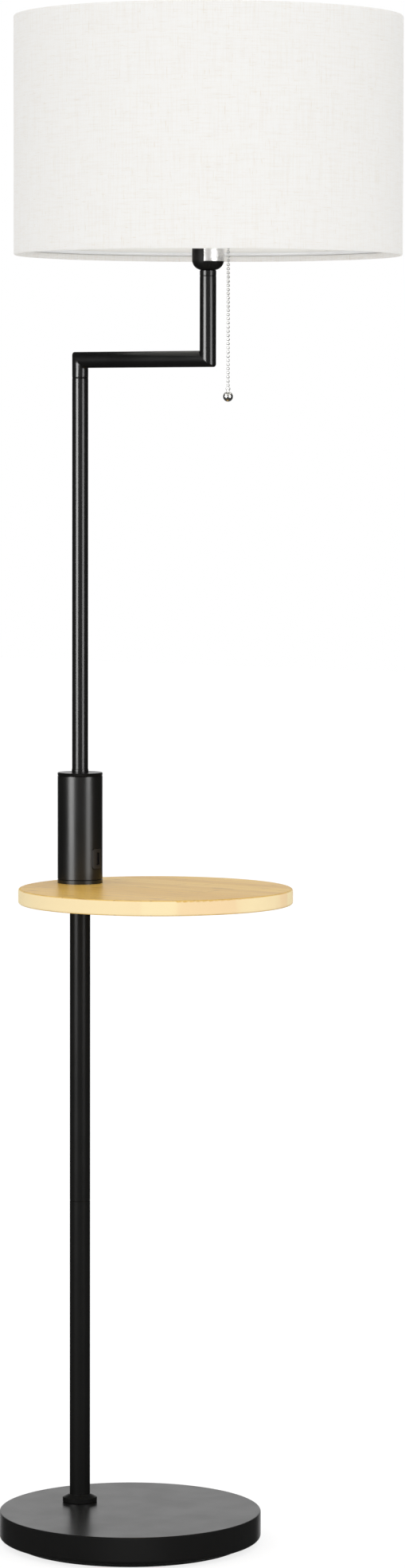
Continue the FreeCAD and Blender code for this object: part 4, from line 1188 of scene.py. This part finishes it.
@dataclass
class DrumShade:
    """Drum shade: wire fitter, top ring, stiff liner and linen with turned-in hems."""

    cloth: float = 0.6 * MM
    roll: float = 1.3 * MM
    hem: float = 5.6 * MM
    hem_edge: float = 0.25 * MM
    settle: float = 0.15 * MM
    waves: tuple[tuple[float, int, float, float], ...] = (
        (0.10 * MM, 3, 0.7, 0.0), (0.06 * MM, 11, 2.1, 0.0), (0.05 * MM, 7, 0.0, 31.0))
    lap_width: float = 11 * MM
    lap_rise: float = 0.35 * MM
    lap_angle: float = 128.0
    sides: int = 384
    upright_steps: int = 24
    wire: float = 1.6 * MM
    hoop_sides: int = 192
    spokes: int = 3
    first_spoke: float = 68.0
    spoke_end: float = 20.3 * MM
    bend: float = 9.0 * MM
    bend_steps: int = 8
    hub_bore: float = 17.8 * MM
    hub_reach: float = 23.8 * MM
    hub_thick: float = 1.6 * MM
    hub_edge: float = 0.4 * MM
    hub_sides: int = 96

    def build(self) -> None:
        """Makes the cloth and the wires and dresses the liner."""
        self.cover()
        self.wires()
        dress_nodes({Look.LINER: ["shade_liner"]})

    def cover(self) -> None:
        """Makes the cloth with its rolled rims, hems and lap seam."""
        middle = middle_of("shade_cloth")
        radius, high = reach_of("shade_cloth"), height_of("shade_cloth")
        inner = bore_of("shade_cloth")
        out, back = radius, radius - self.cloth
        walls = [high * i / self.upright_steps for i in range(1, self.upright_steps)]
        lined = inner + self.cloth
        edge = self.hem_edge
        corners = ([(out, 0.0, self.roll)] + [(out, z, 0.0) for z in walls]
                   + [(out, high, self.roll), (inner, high, self.roll),
                      (inner, high - self.hem, edge), (lined, high - self.hem, edge),
                      (lined, high - self.cloth, self.roll / 2),
                      (back, high - self.cloth, self.roll / 2)]
                   + [(back, z, 0.0) for z in walls[::-1]]
                   + [(back, self.cloth, self.roll / 2), (lined, self.cloth, self.roll / 2),
                      (lined, self.hem, edge), (inner, self.hem, edge), (inner, 0.0, self.roll)])
        half = self.lap_width / 2 / radius
        seam = math.radians(self.lap_angle)

        def lie(angle: float, reach: float, height: float) -> float:
            """Gives the cloth's small waves and the lap's double thickness."""
            wave = sum(size * math.sin(count * angle + start + rise * height)
                       for size, count, start, rise in self.waves)
            away = abs((angle - seam + math.pi) % TURN - math.pi)
            lap = self.lap_rise if away < half and reach > back - HAIR else 0.0
            return (wave - self.settle if reach > inner + self.cloth * 1.5 else 0.0) + lap

        shape = Shape()
        shape.turn(soften(corners), middle, self.sides, ripple=lie)
        cover = shape.piece("linen_cover", Look.LINEN, Body.ARM, ["shade_cloth"])

    def hoop(self, shape: Shape, node: str, radius: float) -> Vector:
        """Adds a level wire ring at a node's foot.

        Args:
            shape: The shape to add to.
            node: Node whose foot the ring lies on.
            radius: Radius of the ring's middle line.

        Returns:
            The ring's middle.
        """
        head = middle_of("shade_liner")
        middle = Vector((head.x, head.y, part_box(node)[0].z + self.wire))
        turns = [TURN * i / self.hoop_sides for i in range(self.hoop_sides)]
        shape.wire([around(middle, radius, angle) for angle in turns], self.wire, loop=True)
        return middle

    def wires(self) -> None:
        """Makes the lower ring with its spokes and hub, and the top ring."""
        radius = reach_of("shade_top_ring") - self.wire
        top = Shape()
        self.hoop(top, "shade_top_ring", radius)
        top.piece("top_wire", Look.WIRE, Body.ARM, ["shade_top_ring"])
        fitter = Shape()
        middle = self.hoop(fitter, "shade_fitter", radius)
        hub_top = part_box("shade_clamp")[0].z - middle.z
        hub_foot = hub_top - self.hub_thick
        hub = soften([(self.hub_bore, hub_foot, 0), (self.hub_reach, hub_foot, self.hub_edge),
                      (self.hub_reach, hub_top, self.hub_edge), (self.hub_bore, hub_top, 0)])
        fitter.turn(hub, middle, self.hub_sides)
        rise = hub_top - self.wire
        line = soften([(radius, 0.0, 0.0), (radius, rise, self.bend), (self.spoke_end, rise, 0.0)],
                      closed=False, steps=self.bend_steps)
        for number in range(self.spokes):
            angle = math.radians(self.first_spoke) + TURN * number / self.spokes
            fitter.wire([around(middle, r, angle, z) for r, z in line], self.wire)
        fitter.piece("wire_fitter", Look.WIRE, Body.ARM, ["shade_fitter"])


@dataclass
class PullChain:
    """Bead chain with its links, bell coupling and ball."""

    bead: float = 3.2 * MM
    pitch: float = 4.0 * MM
    link: float = 1.0 * MM
    mouth: float = 1.3 * MM
    sides: int = 20
    arc_steps: int = 9
    bell_mouth: float = 1.5 * MM
    bell: tuple[Corner, ...] = ((0.72, 0.32, 0.5 * MM), (1.0, 0.5, 0.4 * MM),
                                (1.0, 0.86, 0.4 * MM), (0.6, 1.0, 0.2 * MM))
    bell_sides: int = 32

    def build(self) -> None:
        """Makes the two runs of beads and the coupling, and dresses the ball."""
        self.run("lead_beads", "chain_lead", Body.CHAIN_TOP)
        self.run("hanging_beads", "pull_chain", Body.CHAIN)
        self.coupling()
        dress_nodes({Look.BALL: ["chain_ball"]})

    def run(self, name: str, node: str, body: Body) -> None:
        """Makes one row of beads.

        Args:
            name: Name of the piece.
            node: Node that it takes the place of.
            body: What it moves with.
        """
        middle = middle_of(node)
        count = round(height_of(node) / self.pitch)
        bead, link = self.bead / 2, self.link / 2
        reach = math.asin(self.mouth / 2 / bead)
        outline: list[Point] = [(link, 0.0)]
        for number in range(count):
            centre = self.pitch * (number + 0.5)
            low = centre - bead * math.cos(reach)
            outline.append((link, low))
            for i in range(self.arc_steps + 1):
                angle = reach + (math.pi - 2 * reach) * i / self.arc_steps
                outline.append((bead * math.sin(angle), centre - bead * math.cos(angle)))
            outline.append((link, 2 * centre - low))
        outline.append((link, self.pitch * count))
        shape = Shape()
        shape.turn(outline, middle, self.sides, loop=False)
        shape.piece(name, Look.CHAIN, body, [node])

    def coupling(self) -> None:
        """Makes the bell coupling on top of the ball."""
        middle = middle_of("chain_ferrule")
        wide, high = reach_of("chain_ferrule"), height_of("chain_ferrule")
        body = [(wide * across, high * up, edge) for across, up, edge in self.bell]
        outline = soften([(self.bell_mouth, 0.0, 0.0), *body, (self.link / 2, high, 0.0)],
                         closed=False)
        shape = Shape()
        shape.turn(outline, middle, self.bell_sides, loop=False)
        shape.piece("bell_coupling", Look.CHAIN, Body.CHAIN, ["chain_ferrule"])


# ---------------------------------------------------------------- the whole lamp


def main() -> None:
    """Builds the studio and the lamp."""
    logging.basicConfig(level=logging.INFO, format="%(message)s")
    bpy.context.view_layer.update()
    Studio().build()
    for part in (LampBase(), LowerPole(), SideTable(), PowerHousing(), UpperPole(), SwingArm(),
                 LampHolder(), DrumShade(), PullChain()):
        part.build()


if __name__ == "__main__":
    main()
